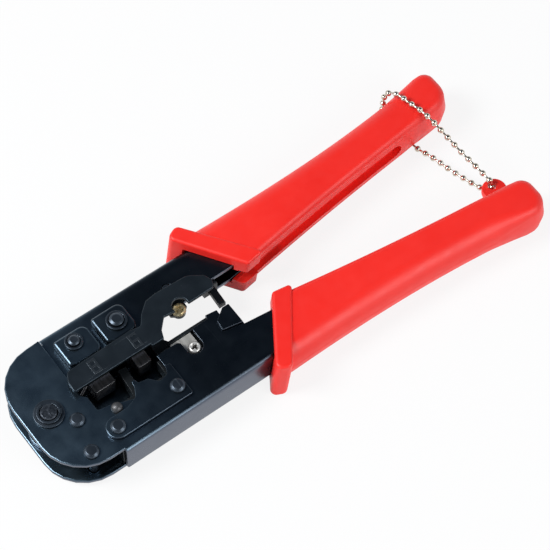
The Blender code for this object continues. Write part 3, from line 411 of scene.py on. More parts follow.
def to_object(name, bm, sharp=40.0):
    """Object for a finished mesh in the row frame, shaded smooth up to an angle in degrees."""
    bmesh.ops.recalc_face_normals(bm, faces=bm.faces)
    mesh = bpy.data.meshes.new(name)
    bm.to_mesh(mesh)
    bm.free()
    mesh.shade_smooth()
    mesh.set_sharp_from_angle(angle=math.radians(sharp))
    obj = bpy.data.objects.new(name, mesh)
    bpy.context.scene.collection.objects.link(obj)
    return obj


def put(obj, node, look):
    """Let a piece stand for a CAD node: its body and its finish."""
    obj.data.materials.clear()
    obj.data.materials.append(look)
    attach(obj, NODES[node]["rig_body"])
    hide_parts(node)
    return obj


def arc(centre, radius, start, end, steps):
    """Points on an arc, with angles in degrees."""
    points = []
    for step in range(steps + 1):
        angle = math.radians(start + (end - start) * step / steps)
        points.append((centre[0] + radius * math.cos(angle), centre[1] + radius * math.sin(angle)))
    return points


def rounded(corners, steps=4):
    """Line through corners (x, y, radius), each rounded by an arc of its radius."""
    line = []
    for index, (x, y, radius) in enumerate(corners):
        here = Vector((x, y))
        if radius == 0.0:
            line.append((x, y))
            continue
        before = (Vector(corners[index - 1][:2]) - here).normalized()
        after = (Vector(corners[(index + 1) % len(corners)][:2]) - here).normalized()
        half = before.angle(after) / 2.0
        centre = here + (before + after).normalized() * radius / math.sin(half)
        first = here + before * radius / math.tan(half) - centre
        last = here + after * radius / math.tan(half) - centre
        turn = first.angle_signed(last)
        for step in range(steps + 1):
            spoke = first.copy()
            spoke.rotate(Matrix.Rotation(-turn * step / steps, 2))
            line.append((centre.x + spoke.x, centre.y + spoke.y))
    return line


def lathe(bm, at, profile, sides=56, closed=False, sweep=(0.0, 360.0)):
    """Turn a profile (radius, height) about a vertical axis; closed joins its last point to its first."""
    whole = sweep[1] - sweep[0] == 360.0
    rings = []
    for radius, height in profile:
        spots = [Vector(at)] if radius == 0.0 else [Vector(p) for p in arc(at, radius, *sweep, sides)]
        if whole and len(spots) > 1:
            spots.pop()
        rings.append([bm.verts.new(ORIGIN + Vector((*spot, height))) for spot in spots])
    pairs = list(zip(rings, rings[1:]))
    if closed:
        pairs.append((rings[-1], rings[0]))
    for upper, lower in pairs:
        for side in range(sides):
            after = side + 1
            corners = [upper[side % len(upper)], lower[side % len(lower)]]
            corners += [lower[after % len(lower)], upper[after % len(upper)]]
            bm.faces.new(list(dict.fromkeys(corners)))
    if not whole:
        bm.faces.new([ring[0] for ring in rings])
        bm.faces.new([ring[-1] for ring in rings])
    return [vert for ring in rings for vert in ring]


def turned(name, at, corners, steps=4):
    """Round piece from profile corners (radius, height, rounding)."""
    bm = bmesh.new()
    lathe(bm, at, rounded(corners, steps))
    return to_object(name, bm)


def collar(name, at, inner, outer, low, high, rounding=0.00015, sweep=(0.0, 360.0)):
    """Flat ring with rounded rims, whole or over a part of the turn."""
    bm = bmesh.new()
    corners = [(inner, high), (outer, high), (outer, low), (inner, low)]
    profile = rounded([(x, y, rounding) for x, y in corners], 3)
    lathe(bm, at, profile, closed=True, sweep=sweep)
    return to_object(name, bm)


def combine(obj, tool, operation):
    """Apply one Boolean and remove its tool."""
    boolean = obj.modifiers.new(operation, "BOOLEAN")
    boolean.operation = operation
    boolean.solver = "MANIFOLD"
    boolean.object = tool
    graph = bpy.context.evaluated_depsgraph_get()
    mesh = bpy.data.meshes.new_from_object(obj.evaluated_get(graph))
    obj.modifiers.clear()
    obj.data = mesh
    bpy.data.objects.remove(tool)
    return obj


def drilled(obj, at, radius):
    """Bore a hole right through a piece."""
    bm = bmesh.new()
    lathe(bm, at, ((0.0, REST_HALF), (radius, REST_HALF), (radius, -REST_HALF), (0.0, -REST_HALF)), 32)
    return combine(obj, to_object("bore", bm), "DIFFERENCE")


def even_faces(obj, sharp=40.0):
    """Shade a piece smooth up to an angle in degrees, with its flat faces kept flat."""
    obj.data.shade_smooth()
    obj.data.set_sharp_from_angle(angle=math.radians(sharp))
    normals = obj.modifiers.new("flat_faces", "WEIGHTED_NORMAL")
    normals.keep_sharp = True
    return obj


def prism(name, outline, low, high, rim=0.0, steps=5):
    """Block over an outline between two heights, with its rims rounded."""
    bm = bmesh.new()
    floor = bm.faces.new([bm.verts.new(ORIGIN + Vector((x, y, low))) for x, y in outline])
    raised = bmesh.ops.extrude_face_region(bm, geom=[floor])
    top = [item for item in raised["geom"] if isinstance(item, bmesh.types.BMVert)]
    bmesh.ops.translate(bm, verts=top, vec=(0.0, 0.0, high - low))
    if rim > 0.0:
        flat = [edge for edge in bm.edges if abs(edge.verts[0].co.z - edge.verts[1].co.z) < GAP]
        bmesh.ops.bevel(bm, geom=flat, offset=rim, segments=steps, profile=0.5, affect="EDGES")
    return to_object(name, bm)


# Steel pieces that keep their solid's shape, with rounded edges


def dressed(node, width, look, steps=3, other=None, shape=None, crease=28.0):
    """Copy of a CAD node with its outer edges rounded where they turn by more than the crease, in degrees.

    Other is a test of an edge's middle and a width for those; shape changes the copy first.
    """
    bm = bmesh.new()
    bm.from_mesh(NODES[node].data)
    bmesh.ops.remove_doubles(bm, verts=bm.verts, dist=0.000002)
    if shape is not None:
        shape(bm)
    bmesh.ops.dissolve_limit(bm, angle_limit=math.radians(0.6), verts=bm.verts, edges=bm.edges)
    limit = math.radians(crease)
    sharp = [edge for edge in bm.edges if edge.is_convex and edge.calc_face_angle(0.0) > limit]
    groups = [(sharp, width)]
    if other is not None:
        test, second = other
        chosen = [edge for edge in sharp if test((edge.verts[0].co + edge.verts[1].co) / 2.0 - ORIGIN)]
        groups = [(chosen, second), ([edge for edge in sharp if edge not in chosen], width)]
    for group, offset in groups:
        live = [edge for edge in group if edge.is_valid]
        bmesh.ops.bevel(bm, geom=live, offset=offset, segments=steps, profile=0.5, affect="EDGES")
    wide = [face for face in bm.faces if len(face.verts) > 4]
    bmesh.ops.triangulate(bm, faces=wide, ngon_method="EAR_CLIP")
    return put(even_faces(to_object(node + "_form", bm), 50.0), node, look)


def widened_bend(half):
    """Change that lets the bend along a channel's arm grow wider towards the grip."""

    def widen(bm):
        for vert in bm.verts:
            spot = vert.co - ORIGIN
            across, down = ARM_OUT - abs(spot.y), half - abs(spot.z)
            if spot.x > ARM_END - GAP and max(across, down) < BEND_RADIUS + GAP / 2.0:
                vert.co.y = ORIGIN.y + math.copysign(ARM_OUT - across * BEND_GROWTH, spot.y)
                vert.co.z = ORIGIN.z + math.copysign(half - down * BEND_GROWTH, spot.z)

    return widen


def on_frame_rim(spot):
    """True on the nose's outline and on the arm's bend, where nothing stands close to the edge."""
    return spot.x < NOSE_REACH or spot.y < BEND_START


def on_numerals(spot):
    """True on the raised numbers of the guide plate."""
    return spot.z > NUMBERS_START


def make_steel():
    for node, width, look in (
        ("die_plate", 0.00025, BLACK),
        ("die_nest", 0.00018, CHARCOAL),
        ("strip_block", 0.00030, BLACK),
        ("punch_8", 0.00018, PUNCH),
        ("punch_6", 0.00018, PUNCH),
    ):
        dressed(node, width, look)
    dressed("stripper_blade", 0.00010, BRIGHT, shape=trim_blade)
    dressed("lever_channel", 0.00030, BLACK, shape=widened_bend(LEVER_HALF), crease=33.0)
    rim = (on_frame_rim, 0.00055)
    dressed("frame_channel", 0.00025, BLACK, 4, rim, widened_bend(FRAME_HALF), 33.0)
    dressed("guide_plate", 0.00036, MARKED, 3, (on_numerals, 0.00008))
    for node, look in (("pivot_bush", SPRING), ("return_spring", SPRING), ("cutter_pin", RIVET)):
        dressed(node, 0.00008, look, 2)


# Rivets, pins and screws


def make_rivets():
    """Rivets with peened heads on the front and flat ones behind."""
    head, rise, shank = 0.0028, 0.0012, PIN_SHANK
    rows = (
        ("nose_rivet_1", (0.0065, -0.0075), FACE_SEAT),
        ("nose_rivet_2", (0.0037, -0.0202), FACE_SEAT),
        ("die_rivet_1", (0.0159, -0.0184), DIE_FACE + GAP),
        ("die_rivet_2", (0.0410, -0.0176), DIE_FACE + GAP),
    )
    for node, at, face in rows:
        corners = [
            (0.0, face + rise, 0.0),
            (head * 0.64, face + rise, 0.0005),
            (head * 0.93, face + rise * 0.50, 0.0005),
            (head, face + 0.0001, 0.0001),
            (head - 0.0001, face, 0.0),
            (shank, face, 0.0),
            (shank, -FACE_SEAT, 0.0),
            (head, -FACE_SEAT, 0.0),
            (head, -REST_HALF, 0.0004),
            (0.0, -REST_HALF, 0.0),
        ]
        put(turned(node + "_form", at, corners), node, RIVET)


def make_pivot():
    """Pivot pin with a dented end, and the washer and the clip round it."""
    pivot = (0.0, 0.0)
    radius, head, sheet = 0.0030, 0.0050, 0.0006
    washer_top = FACE_SEAT + sheet
    clip_seat = washer_top + GAP
    clip_top = clip_seat + sheet
    tip = clip_top + 0.0005
    bore = radius + GAP
    bm = bmesh.new()
    crown = [(step * 0.0004, tip) for step in range(6)]
    rest = rounded(
        [
            (crown[-1][0], tip, 0.0),
            (radius - 0.0003, tip, 0.0003),
            (radius, tip - 0.0005, 0.0002),
            (radius, -FACE_SEAT, 0.0),
            (head, -FACE_SEAT, 0.0003),
            (head, -REST_HALF, 0.0006),
            (0.0, -REST_HALF, 0.0),
        ]
    )
    for vert in lathe(bm, pivot, crown[:-1] + rest):
        if vert.co.z > ORIGIN.z + tip - 0.0004:
            dent = noise.noise(vert.co * 900.0) + 0.6 * noise.noise(vert.co * 2100.0)
            vert.co.z -= 0.00011 * (1.0 + dent)
    put(to_object("pivot_pin_form", bm), "pivot_pin", CROWN)
    washer = collar("pivot_washer_form", pivot, bore, 0.0054, FACE_SEAT, washer_top)
    put(washer, "pivot_washer", RIVET)
    outer = 0.0043
    clip = collar("pivot_clip_form", pivot, bore, outer, clip_seat, clip_top, sweep=(100.0, 400.0))
    ear = collar("ear", pivot, bore + GAP, outer + GAP, clip_seat + GAP, tip, sweep=(-45.0, -20.0))
    put(even_faces(combine(clip, ear, "UNION")), "pivot_clip", RIVET)


def make_pad(label, left, right, hole_at, hole):
    """Raised pad on the lever's face, with a broad rim and a hole for its pin."""
    low, top, rim = 0.0095, 0.0217, 0.0011
    tight, wide = rim + 0.0001, 0.0030
    corners = [
        (left, low + 0.0014, tight),
        (left + 0.0026, low, tight),
        (right, low, wide),
        (right, top, wide),
        (left, top, tight),
    ]
    pad = prism(f"pad_{label}_form", rounded(corners, 6), PAD_SEAT, PAD_FACE, rim, 6)
    put(even_faces(drilled(pad, hole_at, hole)), f"pad_{label}", PAD)


def make_pins():
    """Pins through pads, lever and punches, with the rings round their heads."""
    shank = PIN_SHANK
    seat = PAD_FACE + GAP
    rise, foot = 0.0018, -PAD_SEAT - 0.0010
    rows = (
        ("8", (0.0220, 0.0173), 0.0021, 0.0158, 0.0292),
        ("6", (0.0385, 0.0155), 0.0026, 0.0313, 0.0440),
    )
    for label, at, radius, left, right in rows:
        make_pad(label, left, right, at, shank + GAP)
        corners = [
            (0.0, seat + rise - 0.0001, 0.0),
            (radius * 0.60, seat + rise, 0.0006),
            (radius, seat + rise * 0.72, 0.0003),
            (radius, seat, 0.0),
            (shank, seat, 0.0),
            (shank, -PAD_SEAT, 0.0),
            (radius, -PAD_SEAT, 0.0),
            (radius, foot, 0.0004),
            (0.0, foot, 0.0),
        ]
        put(turned(f"punch_pin_{label}_form", at, corners), f"punch_pin_{label}", RIVET)
        inner = radius + GAP
        ring = collar(f"punch_ring_{label}_form", at, inner, inner + 0.0009, seat, seat + 0.0007, 0.0002)
        put(ring, f"punch_ring_{label}", RIVET)


def cross_screw(node, at, head, seat, end, turn, look):
    """Pan head screw with a tapered cross recess, turned by an angle in degrees."""
    rise, shank = 0.0013, SCREW_SHANK
    top = seat + rise
    corners = [
        (0.0, top, 0.0),
        (head * 0.72, top, 0.0008),
        (head, seat + rise * 0.42, 0.0004),
        (head, seat, 0.0001),
        (shank, seat, 0.0),
        (shank, end, 0.0002),
        (0.0, end, 0.0),
    ]
    screw = turned(node + "_form", at, corners)
    deep = top - rise * 0.5
    spin = Matrix.Rotation(math.radians(turn), 2)
    middle = Vector(at)
    for length, width in ((0.66, 0.19), (0.19, 0.66)):
        bm = bmesh.new()
        rings = []
        for height, share in ((deep, 0.55), (top, 1.0), (top + rise, 1.5)):
            along = head * length * (share if length > width else 1.0)
            across = head * width * (share if width > length else 1.0)
            spots = ((-along, -across), (along, -across), (along, across), (-along, across))
            places = [middle + spin @ Vector(spot) for spot in spots]
            rings.append([bm.verts.new(ORIGIN + Vector((*place, height))) for place in places])
        bm.faces.new(rings[0])
        bm.faces.new(rings[-1])
        for lower, upper in zip(rings, rings[1:]):
            for side in range(4):
                after = (side + 1) % 4
                bm.faces.new((lower[side], lower[after], upper[after], upper[side]))
        combine(screw, to_object("recess", bm), "DIFFERENCE")
    screw.data.set_sharp_from_angle(angle=math.radians(40.0))
    put(screw, node, look)


def make_seat():
    """Dark seat round the blade.

    Its lip shows beyond the blade's edge, and its end closes the jaw beside the dies.
    """
    core, soft = CORE_HALF, 0.00015
    low, step, lip = -0.0140, -0.0045, 0.00015
    left, right = 0.0486, 0.0660
    end_left, end_right, end_top = 0.0472, 0.0540, 0.0034
    toe_left, toe_low = 0.0440, NEST_WALL + GAP
    block = [
        (end_left, low),
        (right, low),
        (right, step),
        (end_right, step),
        (end_right, lip),
        (left + 0.0022, lip),
        (left + 0.0002, end_top),
        (toe_left, end_top),
        (toe_left, toe_low),
        (end_left, toe_low),
    ]
    seat = prism("blade_seat_form", block, -core, core - 2.0 * GAP, soft, 2)
    shelf = [(left, low), (right, low), (right, lip), (left, lip)]
    combine(seat, prism("shelf", shelf, 0.0016, core, soft, 2), "UNION")
    clear, back = left + 0.0008, BLADE_EDGE + GAP
    edge = [(clear, back), (right - GAP, back), (right - GAP, lip), (clear, lip)]
    combine(seat, prism("edge", edge, core - GAP, LEVER_HALF, soft, 2), "UNION")
    put(even_faces(drilled(seat, BLADE_SCREW_AT, SCREW_SHANK + 0.00005)), "blade_seat", CHARCOAL)


def trim_blade(bm):
    """Set the blade's edge and side back, so that the dark seat shows beyond them."""
    for vert in bm.verts:
        if vert.co.y - ORIGIN.y > 2.0 * BLADE_EDGE:
            vert.co.y -= BLADE_SETBACK
    whole = [*bm.verts, *bm.edges, *bm.faces]
    side = ORIGIN + Vector((BLADE_SIDE, 0.0, 0.0))
    bmesh.ops.bisect_plane(bm, geom=whole, plane_co=side, plane_no=(1.0, 0.0, 0.0), clear_outer=True)
    bmesh.ops.holes_fill(bm, edges=[edge for edge in bm.edges if edge.is_boundary])


def make_cutter():
    """Cutter's arm between the lever's plates, with a tongue whose end lies inside the screw's head."""
    core, top, soft = CORE_HALF, CORE_TOP, 0.00015
    left, right, low = 0.0548, 0.07065, 0.0150
    root = [(left, low), (right, low), (right, top), (left, top)]
    arm = prism("cutter_arm_form", root, -core, core, soft, 3)
    x, y = CUTTER_SCREW_AT
    base = low + SHEET
    tongue = arc(CUTTER_SCREW_AT, TONGUE_RADIUS, 198.0, 342.0, 16)
    start, end = x - TONGUE_HALF, x + TONGUE_HALF
    tongue += [(end, y), (end, base), (start, base), (start, y)]
    combine(arm, prism("tongue", tongue, TONGUE_FACE - TONGUE_THICK, TONGUE_FACE, soft, 3), "UNION")
    drilled(arm, CUTTER_SCREW_AT, SCREW_SHANK + GAP)
    drilled(arm, CUTTER_PIN_AT, PIN_SHANK + GAP)
    put(even_faces(arm), "cutter_arm", CHARCOAL)


def make_peg():
    """Stop peg: a block between the lever's plates and the post that enters the frame on closing."""
    core, top, soft = CORE_HALF, CORE_TOP, 0.00035
    left, width, tip, root = 0.0730, 0.0027, 0.0029, 0.0102
    start, end = left - width / 2.0, left + width * 1.6
    block = [(start, root), (end, root), (end, top), (start, top)]
    peg = prism("stop_peg_form", block, -core, core, soft, 3)
    lean, base = width / 4.0, root + width
    post = [(left, tip), (left + width, tip), (left + width + lean, base), (left + lean, base)]
    combine(peg, prism("post", post, -width / 2.0, width / 2.0, soft, 3), "UNION")
    put(even_faces(peg), "stop_peg", CHARCOAL)


def make_screws():
    """The two cross-slot screws and the domed post beside the wide pocket."""
    cross_screw("blade_screw", BLADE_SCREW_AT, 0.0024, LEVER_HALF + GAP, -LEVER_IN, 12.0, SCREW)
    seat, end = TONGUE_FACE + GAP, TONGUE_FACE - 2.0 * TONGUE_THICK
    cross_screw("cutter_screw", CUTTER_SCREW_AT, CUTTER_HEAD, seat, end, 30.0, BRASS)
    radius, rise = 0.0021, 0.0019
    dome = [
        (radius * math.sin(math.radians(angle)), FACE_SEAT + rise * math.cos(math.radians(angle)), 0.0)
        for angle in range(0, 80, 8)
    ]
    stem = [(radius, FACE_SEAT, 0.0), (0.0011, FACE_SEAT, 0.0), (0.0011, 0.00525, 0.0), (0.0, 0.00525, 0.0)]
    put(turned("latch_post_form", (0.0199, -0.0117), dome + stem), "latch_post", SATIN)


# Grips

GRIP_MIDDLE = 0.1300
GRIP_SPAN = 0.0500
GRIP_END = 0.19139
GRIP_HALF = 0.0082
RIM_INNER = 0.0026
RIM_TIP = 0.0034
RIM_OUTER = 0.0070
RIM_BLEND = 0.0150
WALL_LEAN = 0.15
FLANGE_LEAN = 0.14
SEAM_DEPTH = 0.00022
SEAM_WIDTH = 0.00045
TIP_STEP = 0.0025
TIP_ARC = 12


def grip_side(x, base, lean, bow, flare):
    """Curve along a grip's side, as a distance from the tool's axis."""
    t = (x - GRIP_MIDDLE) / GRIP_SPAN
    return base + lean * t + bow * t ** 2 + flare * t ** 3


def grip_outer(x):
    return grip_side(x, 0.0318, 0.0018, 0.0022, 0.0004)


def grip_inner(x):
    return grip_side(x, 0.0133, 0.0066, -0.0010, 0.0)


def stations(start, end, count):
    return [start + (end - start) * step / count for step in range(count + 1)]


def slot_cutter(start, half, end, depth):
    """Long slot on the grip's inner side, with a round end, at an even depth under the curved side."""
    straight = end - half
    places = [(x, half) for x in stations(start, straight, 24)]
    for degrees in range(12, 84, 12):
        angle = math.radians(degrees)
        places.append((straight + half * math.sin(angle), half * math.cos(angle)))
    bm = bmesh.new()
    rings = []
    for x, reach in places:
        floor = grip_inner(x) + depth
        corners = ((0.0, -reach), (0.0, reach), (floor, reach), (floor, -reach))
        rings.append([bm.verts.new(ORIGIN + Vector((x, y, z))) for y, z in corners])
    for before, after in zip(rings, rings[1:]):
        for side in range(4):
            following = (side + 1) % 4
            bm.faces.new((before[side], before[following], after[following], after[side]))
    bm.faces.new(rings[0])
    bm.faces.new(rings[-1])
    return to_object("slot", bm)


def swollen(name, line, half):
    """Block over an outline of points (x, y, rim, seam), widest at mid height, with a groove under its rims.

    The straight cut from the last point back to the first has no rim.
    """
    places = [Vector(point[:2]) for point in line]
    rings = []
    for side in (-1.0, 1.0):
        stack = [[] for level in range(len(rim_profile(half, *line[0][2:])))]
        for index, point in enumerate(line):
            here = places[index]
            along = places[min(index + 1, len(places) - 1)] - places[max(index - 1, 0)]
            inward = Vector((-along.y, along.x)).normalized()
            for ring, (inset, height) in zip(stack, rim_profile(half, *point[2:])):
                ring.append(Vector((*(here + inward * inset), side * height)))
        rings += stack[:0:-1] if side < 0.0 else stack
    bm = bmesh.new()
    made = [[bm.verts.new(ORIGIN + spot) for spot in ring] for ring in rings]
    for lower, upper in zip(made, made[1:]):
        for index in range(len(line)):
            after = (index + 1) % len(line)
            bm.faces.new((lower[index], lower[after], upper[after], upper[index]))
    caps = [bm.faces.new(made[0]), bm.faces.new(made[-1])]
    bm.normal_update()
    bmesh.ops.triangulate(bm, faces=caps, ngon_method="EAR_CLIP")
    return to_object(name, bm)


def rim_profile(half, rim, seam):
    """Points (inset, height) from mid height up to the flat face: leaning wall, groove and rounded rim."""
    shoulder = half - rim
    points = [(0.0, 0.0)]
    for below, deep in ((SEAM_WIDTH, 0.0), (SEAM_WIDTH / 2.0, seam), (0.0, 0.0)):
        height = shoulder - below
        points.append((height * WALL_LEAN + deep, height))
    for degrees in range(10, 91, 10):
        angle = math.radians(degrees)
        inset = shoulder * WALL_LEAN + rim * (1.0 - math.cos(angle))
        points.append((inset, shoulder + rim * math.sin(angle)))
    return points


def grip_outline(round_in, round_out):
    """Outline of a grip seen from above, with the rim and the seam that belong to each point."""
    corners, rims = [], []
    shoulder = GRIP_END - round_in - TIP_STEP
    for x in stations(ARM_NECK_X - 0.0025, shoulder, 30):
        share = min(1.0, (shoulder - x) / RIM_BLEND)
        corners.append((x, grip_inner(x), 0.0))
        rims.append((RIM_TIP + (RIM_INNER - RIM_TIP) * share, SEAM_DEPTH * share))
    corners.append((GRIP_END, grip_inner(GRIP_END) + 0.0006, round_in))
    corners.append((GRIP_END, grip_outer(GRIP_END) - 0.0009, round_out))
    rims += [(RIM_TIP, 0.0)] * 2 * (TIP_ARC + 1)
    shoulder = GRIP_END - round_out - TIP_STEP
    for x in reversed(stations(ARM_NECK_X - 0.0150, shoulder, 36)):
        share = min(1.0, (shoulder - x) / RIM_BLEND)
        corners.append((x, grip_outer(x), 0.0))
        rims.append((RIM_TIP + (RIM_OUTER - RIM_TIP) * share, 0.0))
    return [(*point, *rim) for point, rim in zip(rounded(corners, TIP_ARC), rims)]


def grip_form(name, cavity_half, round_in, round_out):
    grip = swollen(name, grip_outline(round_in, round_out), GRIP_HALF)
    flange = [
        (ARM_NECK_X - 0.0034, ARM_NECK_IN - 0.0056, 0.0016),
        (ARM_NECK_X + 0.0044, ARM_NECK_IN - 0.0044, 0.0012),
        (ARM_NECK_X - 0.0149, ARM_OUT + 0.0080, 0.0022),
        (ARM_NECK_X - 0.0204, ARM_OUT + 0.0054, 0.0022),
    ]
    plate = prism("flange", rounded(flange, 6), -REST_HALF, REST_HALF, 0.0010, 5)
    for vert in plate.data.vertices:
        vert.co.x -= FLANGE_LEAN * (ORIGIN.z + REST_HALF - vert.co.z)
    combine(grip, plate, "UNION")
    mouth = ARM_NECK_X - 0.0320
    wall = ARM_OUT + GAP
    cavity = [
        (mouth, wall),
        (mouth, ARM_NECK_IN - 0.0023),
        (ARM_NECK_X - 0.0120, ARM_NECK_IN - 0.0023),
        (ARM_NECK_X, ARM_NECK_IN - GAP),
        (ARM_END + GAP, ARM_END_IN - GAP),
        (ARM_END + GAP, wall),
    ]
    combine(grip, prism("cavity", cavity, -cavity_half, cavity_half), "DIFFERENCE")
    combine(grip, slot_cutter(mouth, 0.0033, 0.1650, 0.0030), "DIFFERENCE")
    sill = ARM_NECK_X + 0.0050
    for left, right in ((mouth, sill - 0.0040), (sill, sill + 0.0090)):
        window = [(left, 0.0), (right, 0.0), (right, ARM_END_IN), (left, ARM_END_IN)]
        combine(grip, prism("window", window, -0.0030, 0.0030), "DIFFERENCE")
    return grip


def finish_grip(grip, node):
    bm = bmesh.new()
    bm.from_mesh(grip.data)
    wide = [face for face in bm.faces if len(face.verts) > 4]
    bmesh.ops.triangulate(bm, faces=wide, ngon_method="EAR_CLIP")
    bm.to_mesh(grip.data)
    bm.free()
    put(even_faces(grip, 32.0), node, RED)


def make_grips():
    upper = grip_form("upper_grip_form", LEVER_HALF + GAP, 0.0090, 0.0050)
    neck, neck_radius = 0.0056, 0.0120
    bm = bmesh.new()
    lathe(bm, (0.0, 0.0), ((0.0, 0.05), (neck_radius, 0.05), (neck_radius, -0.05), (0.0, -0.05)), 64)
    bmesh.ops.translate(bm, verts=bm.verts, vec=-ORIGIN)
    bmesh.ops.rotate(bm, verts=bm.verts, matrix=Matrix.Rotation(math.pi / 2.0, 3, "X"))
    bmesh.ops.translate(bm, verts=bm.verts, vec=ORIGIN + Vector((0.1718, ARM_OUT, -neck - neck_radius)))
    finish_grip(combine(upper, to_object("roller", bm), "DIFFERENCE"), "upper_grip")
    lower = grip_form("lower_grip_form", FRAME_HALF + GAP, 0.0058, 0.0075)
    lower.data.transform(Matrix.Diagonal((1.0, -1.0, 1.0, 1.0)))
    lower.data.flip_normals()
    lug_at, lug_radius, lug_half = (0.1807, -0.0166), 0.0046, 0.0013
    root = -grip_inner(lug_at[0]) - 0.0030
    lug = arc(lug_at, lug_radius, -20.0, 200.0, 24)
    lug += [(lug_at[0] - lug_radius, root), (lug_at[0] + lug_radius, root)]
    combine(lower, prism("lug", lug, -lug_half, lug_half, 0.0004, 3), "UNION")
    bm = bmesh.new()
    hole = 0.0016
    lathe(bm, (0.1809, -0.0149), ((0.0, 0.005), (hole, 0.005), (hole, -0.005), (0.0, -0.005)), 32)
    finish_grip(combine(lower, to_object("lug_hole", bm), "DIFFERENCE"), "lower_grip")


# Chain


def smooth_path(route, spacing):
    """Points along a smooth curve through the route, about one spacing apart."""
    knots = [ORIGIN + Vector(point) for point in route]
    points = [knots[0]]
    for index in range(len(knots) - 1):
        before = knots[max(index - 1, 0)]
        start, end = knots[index], knots[index + 1]
        after = knots[min(index + 2, len(knots) - 1)]
        steps = max(1, round((end - start).length / spacing))
        for step in range(1, steps + 1):
            t = step / steps
            bend = (2.0 * before - 5.0 * start + 4.0 * end - after) * t * t
            twist = (3.0 * start - before - 3.0 * end + after) * t ** 3
            points.append((2.0 * start + (end - before) * t + bend + twist) / 2.0)
    return points


def bead_rings(length):
    """Distance along the chain and radius of each ring of its surface: balls joined by thin links."""
    radius = CHAIN_DIAMETER / 2.0 - 0.00003
    count = round(length / BEAD_PITCH)
    pitch = length / count
    rings = []
    for bead in range(count):
        middle = pitch * (bead + 0.5)
        for degrees in range(-70, 71, 14):
            angle = math.radians(degrees)
            rings.append((middle + radius * math.sin(angle), radius * math.cos(angle)))
    thin = []
    for first, second in zip(rings, rings[1:]):
        thin.append(first)
        if second[0] - first[0] > radius * 0.5:
            thin += [(first[0] + 0.00006, LINK_RADIUS), (second[0] - 0.00006, LINK_RADIUS)]
    return [(0.0, LINK_RADIUS)] + thin + [rings[-1], (length, LINK_RADIUS)]


def make_chain():
    path = smooth_path(CHAIN_ROUTE, CHAIN_SPACING)
    marks = [0.0]
    for first, second in zip(path, path[1:]):
        marks.append(marks[-1] + (second - first).length)
    length = marks[-1]
    bm = bmesh.new()
    sides = 14
    rings = []
    across = Vector((1.0, 0.0, 0.0))
    step = 0
    for distance, radius in bead_rings(length):
        while marks[step + 1] < distance and step < len(path) - 2:
            step += 1
        share = (distance - marks[step]) / (marks[step + 1] - marks[step])
        along = (path[step + 1] - path[step]).normalized()
        centre = path[step].lerp(path[step + 1], share)
        across = (across - along * across.dot(along)).normalized()
        up = along.cross(across)
        angles = [2.0 * math.pi * side / sides for side in range(sides)]
        spots = [centre + (across * math.cos(angle) + up * math.sin(angle)) * radius for angle in angles]
        rings.append([bm.verts.new(spot) for spot in spots])
    for before, after in zip(rings, rings[1:]):
        for side in range(sides):
            following = (side + 1) % sides
            bm.faces.new((before[side], before[following], after[following], after[side]))
    bm.faces.new(rings[0])
    bm.faces.new(rings[-1])
    chain = to_object("ball_chain", bm, 60.0)
    chain.data.materials.append(NICKEL)
    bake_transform(chain)
    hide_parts("safety_chain")
    first, last = CONNECTOR_ENDS
    reach = (last - first).length
    radius = CONNECTOR_RADIUS
    corners = [(0.0, reach, 0.0), (radius * 0.45, reach, 0.0), (radius * 0.9, reach - 0.0005, 0.0003)]
    corners += [(radius, reach * 0.55, 0.0), (radius * 0.93, reach * 0.5, 0.0), (radius, reach * 0.45, 0.0)]
    corners += [(radius * 0.9, 0.0005, 0.0003), (radius * 0.45, 0.0, 0.0), (0.0, 0.0, 0.0)]
    barrel = turned("chain_connector_form", (0.0, 0.0), corners)
    barrel.data.transform(Matrix.Translation(-ORIGIN))
    barrel.data.transform((last - first).to_track_quat("Z", "Y").to_matrix().to_4x4())
    barrel.data.transform(Matrix.Translation(ORIGIN + first))
    put(barrel, "chain_connector", NICKEL)


# Floor and light


def make_floor():
    bpy.ops.mesh.primitive_plane_add(size=6.0)
    floor = bpy.context.object
    floor.name = "floor"
    surface = bpy.data.materials.new("floor_look")
    surface.use_nodes = True
    tree = surface.node_tree
    tree.nodes.clear()
    path = tree.nodes.new("ShaderNodeLightPath")
    seen = path.outputs["Is Camera Ray"]
    for kind in ("Is Glossy Ray", "Is Transmission Ray"):
        either = tree.nodes.new("ShaderNodeMath")
        either.operation = "MAXIMUM"
        tree.links.new(seen, either.inputs[0])
        tree.links.new(path.outputs[kind], either.inputs[1])
        seen = either.outputs[0]
    share = tree.nodes.new("ShaderNodeMath")
    share.operation = "MULTIPLY"
    share.inputs[1].default_value = FLOOR_GLOW
    tree.links.new(seen, share.inputs[0])
    matte = tree.nodes.new("ShaderNodeBsdfDiffuse")
    matte.inputs["Color"].default_value = (0.86, 0.86, 0.86, 1.0)
    glow = tree.nodes.new("ShaderNodeEmission")
    mixed = tree.nodes.new("ShaderNodeMixShader")
    tree.links.new(share.outputs[0], mixed.inputs["Fac"])
    tree.links.new(matte.outputs[0], mixed.inputs[1])
    tree.links.new(glow.outputs[0], mixed.inputs[2])
    output = tree.nodes.new("ShaderNodeOutputMaterial")
    tree.links.new(mixed.outputs[0], output.inputs["Surface"])
    floor.data.materials.append(surface)


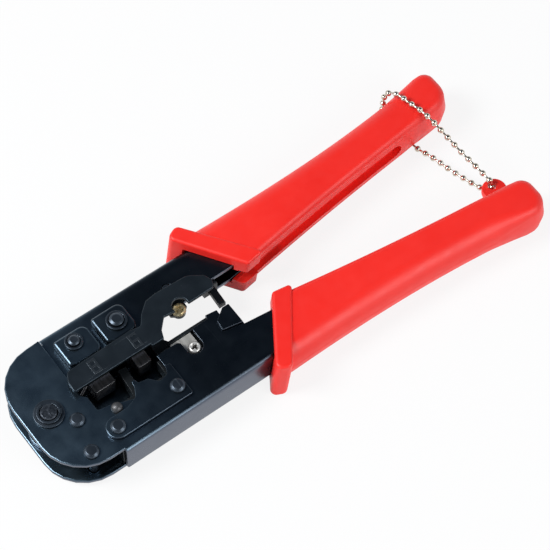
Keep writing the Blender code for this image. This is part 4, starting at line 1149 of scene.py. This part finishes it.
FLOOR_GLOW = 0.86
WORLD_TOP = (0.05, 0.07, 0.10)
WORLD_RIM = (0.85, 0.87, 0.90)


def make_world():
    """Soft studio surround: paler towards the horizon, white where the camera sees it."""
    world = bpy.data.worlds.new("studio")
    bpy.context.scene.world = world
    world.use_nodes = True
    tree = world.node_tree
    surround = tree.nodes["Background"]
    place = tree.nodes.new("ShaderNodeTexCoord")
    axes = tree.nodes.new("ShaderNodeSeparateXYZ")
    tree.links.new(place.outputs["Generated"], axes.inputs[0])
    ramp = tree.nodes.new("ShaderNodeValToRGB")
    ramp.color_ramp.elements[0].color = (*WORLD_RIM, 1.0)
    ramp.color_ramp.elements[0].position = 0.10
    ramp.color_ramp.elements[1].color = (*WORLD_TOP, 1.0)
    ramp.color_ramp.elements[1].position = 0.80
    tree.links.new(axes.outputs["Z"], ramp.inputs["Fac"])
    tree.links.new(ramp.outputs["Color"], surround.inputs["Color"])
    white = tree.nodes.new("ShaderNodeBackground")
    path = tree.nodes.new("ShaderNodeLightPath")
    mixed = tree.nodes.new("ShaderNodeMixShader")
    tree.links.new(path.outputs["Is Camera Ray"], mixed.inputs["Fac"])
    tree.links.new(surround.outputs[0], mixed.inputs[1])
    tree.links.new(white.outputs[0], mixed.inputs[2])
    tree.links.new(mixed.outputs[0], tree.nodes["World Output"].inputs["Surface"])


def make_lamp(name, at, size, watts):
    data = bpy.data.lights.new(name, "AREA")
    data.shape = "DISK"
    data.size = size
    data.energy = watts
    lamp = bpy.data.objects.new(name, data)
    bpy.context.scene.collection.objects.link(lamp)
    lamp.location = at
    lamp.rotation_euler = (-Vector(at)).to_track_quat("-Z", "Y").to_euler()


make_camera()
make_chain()
make_steel()
make_rivets()
make_pivot()
make_pins()
make_seat()
make_cutter()
make_peg()
make_screws()
make_grips()
make_floor()
make_world()
make_lamp("key", (-0.72, 0.36, 0.89), 0.55, 12.5)
make_lamp("fill", (0.36, -0.86, 0.64), 0.70, 5.0)
bpy.context.scene.view_settings.view_transform = "Standard"
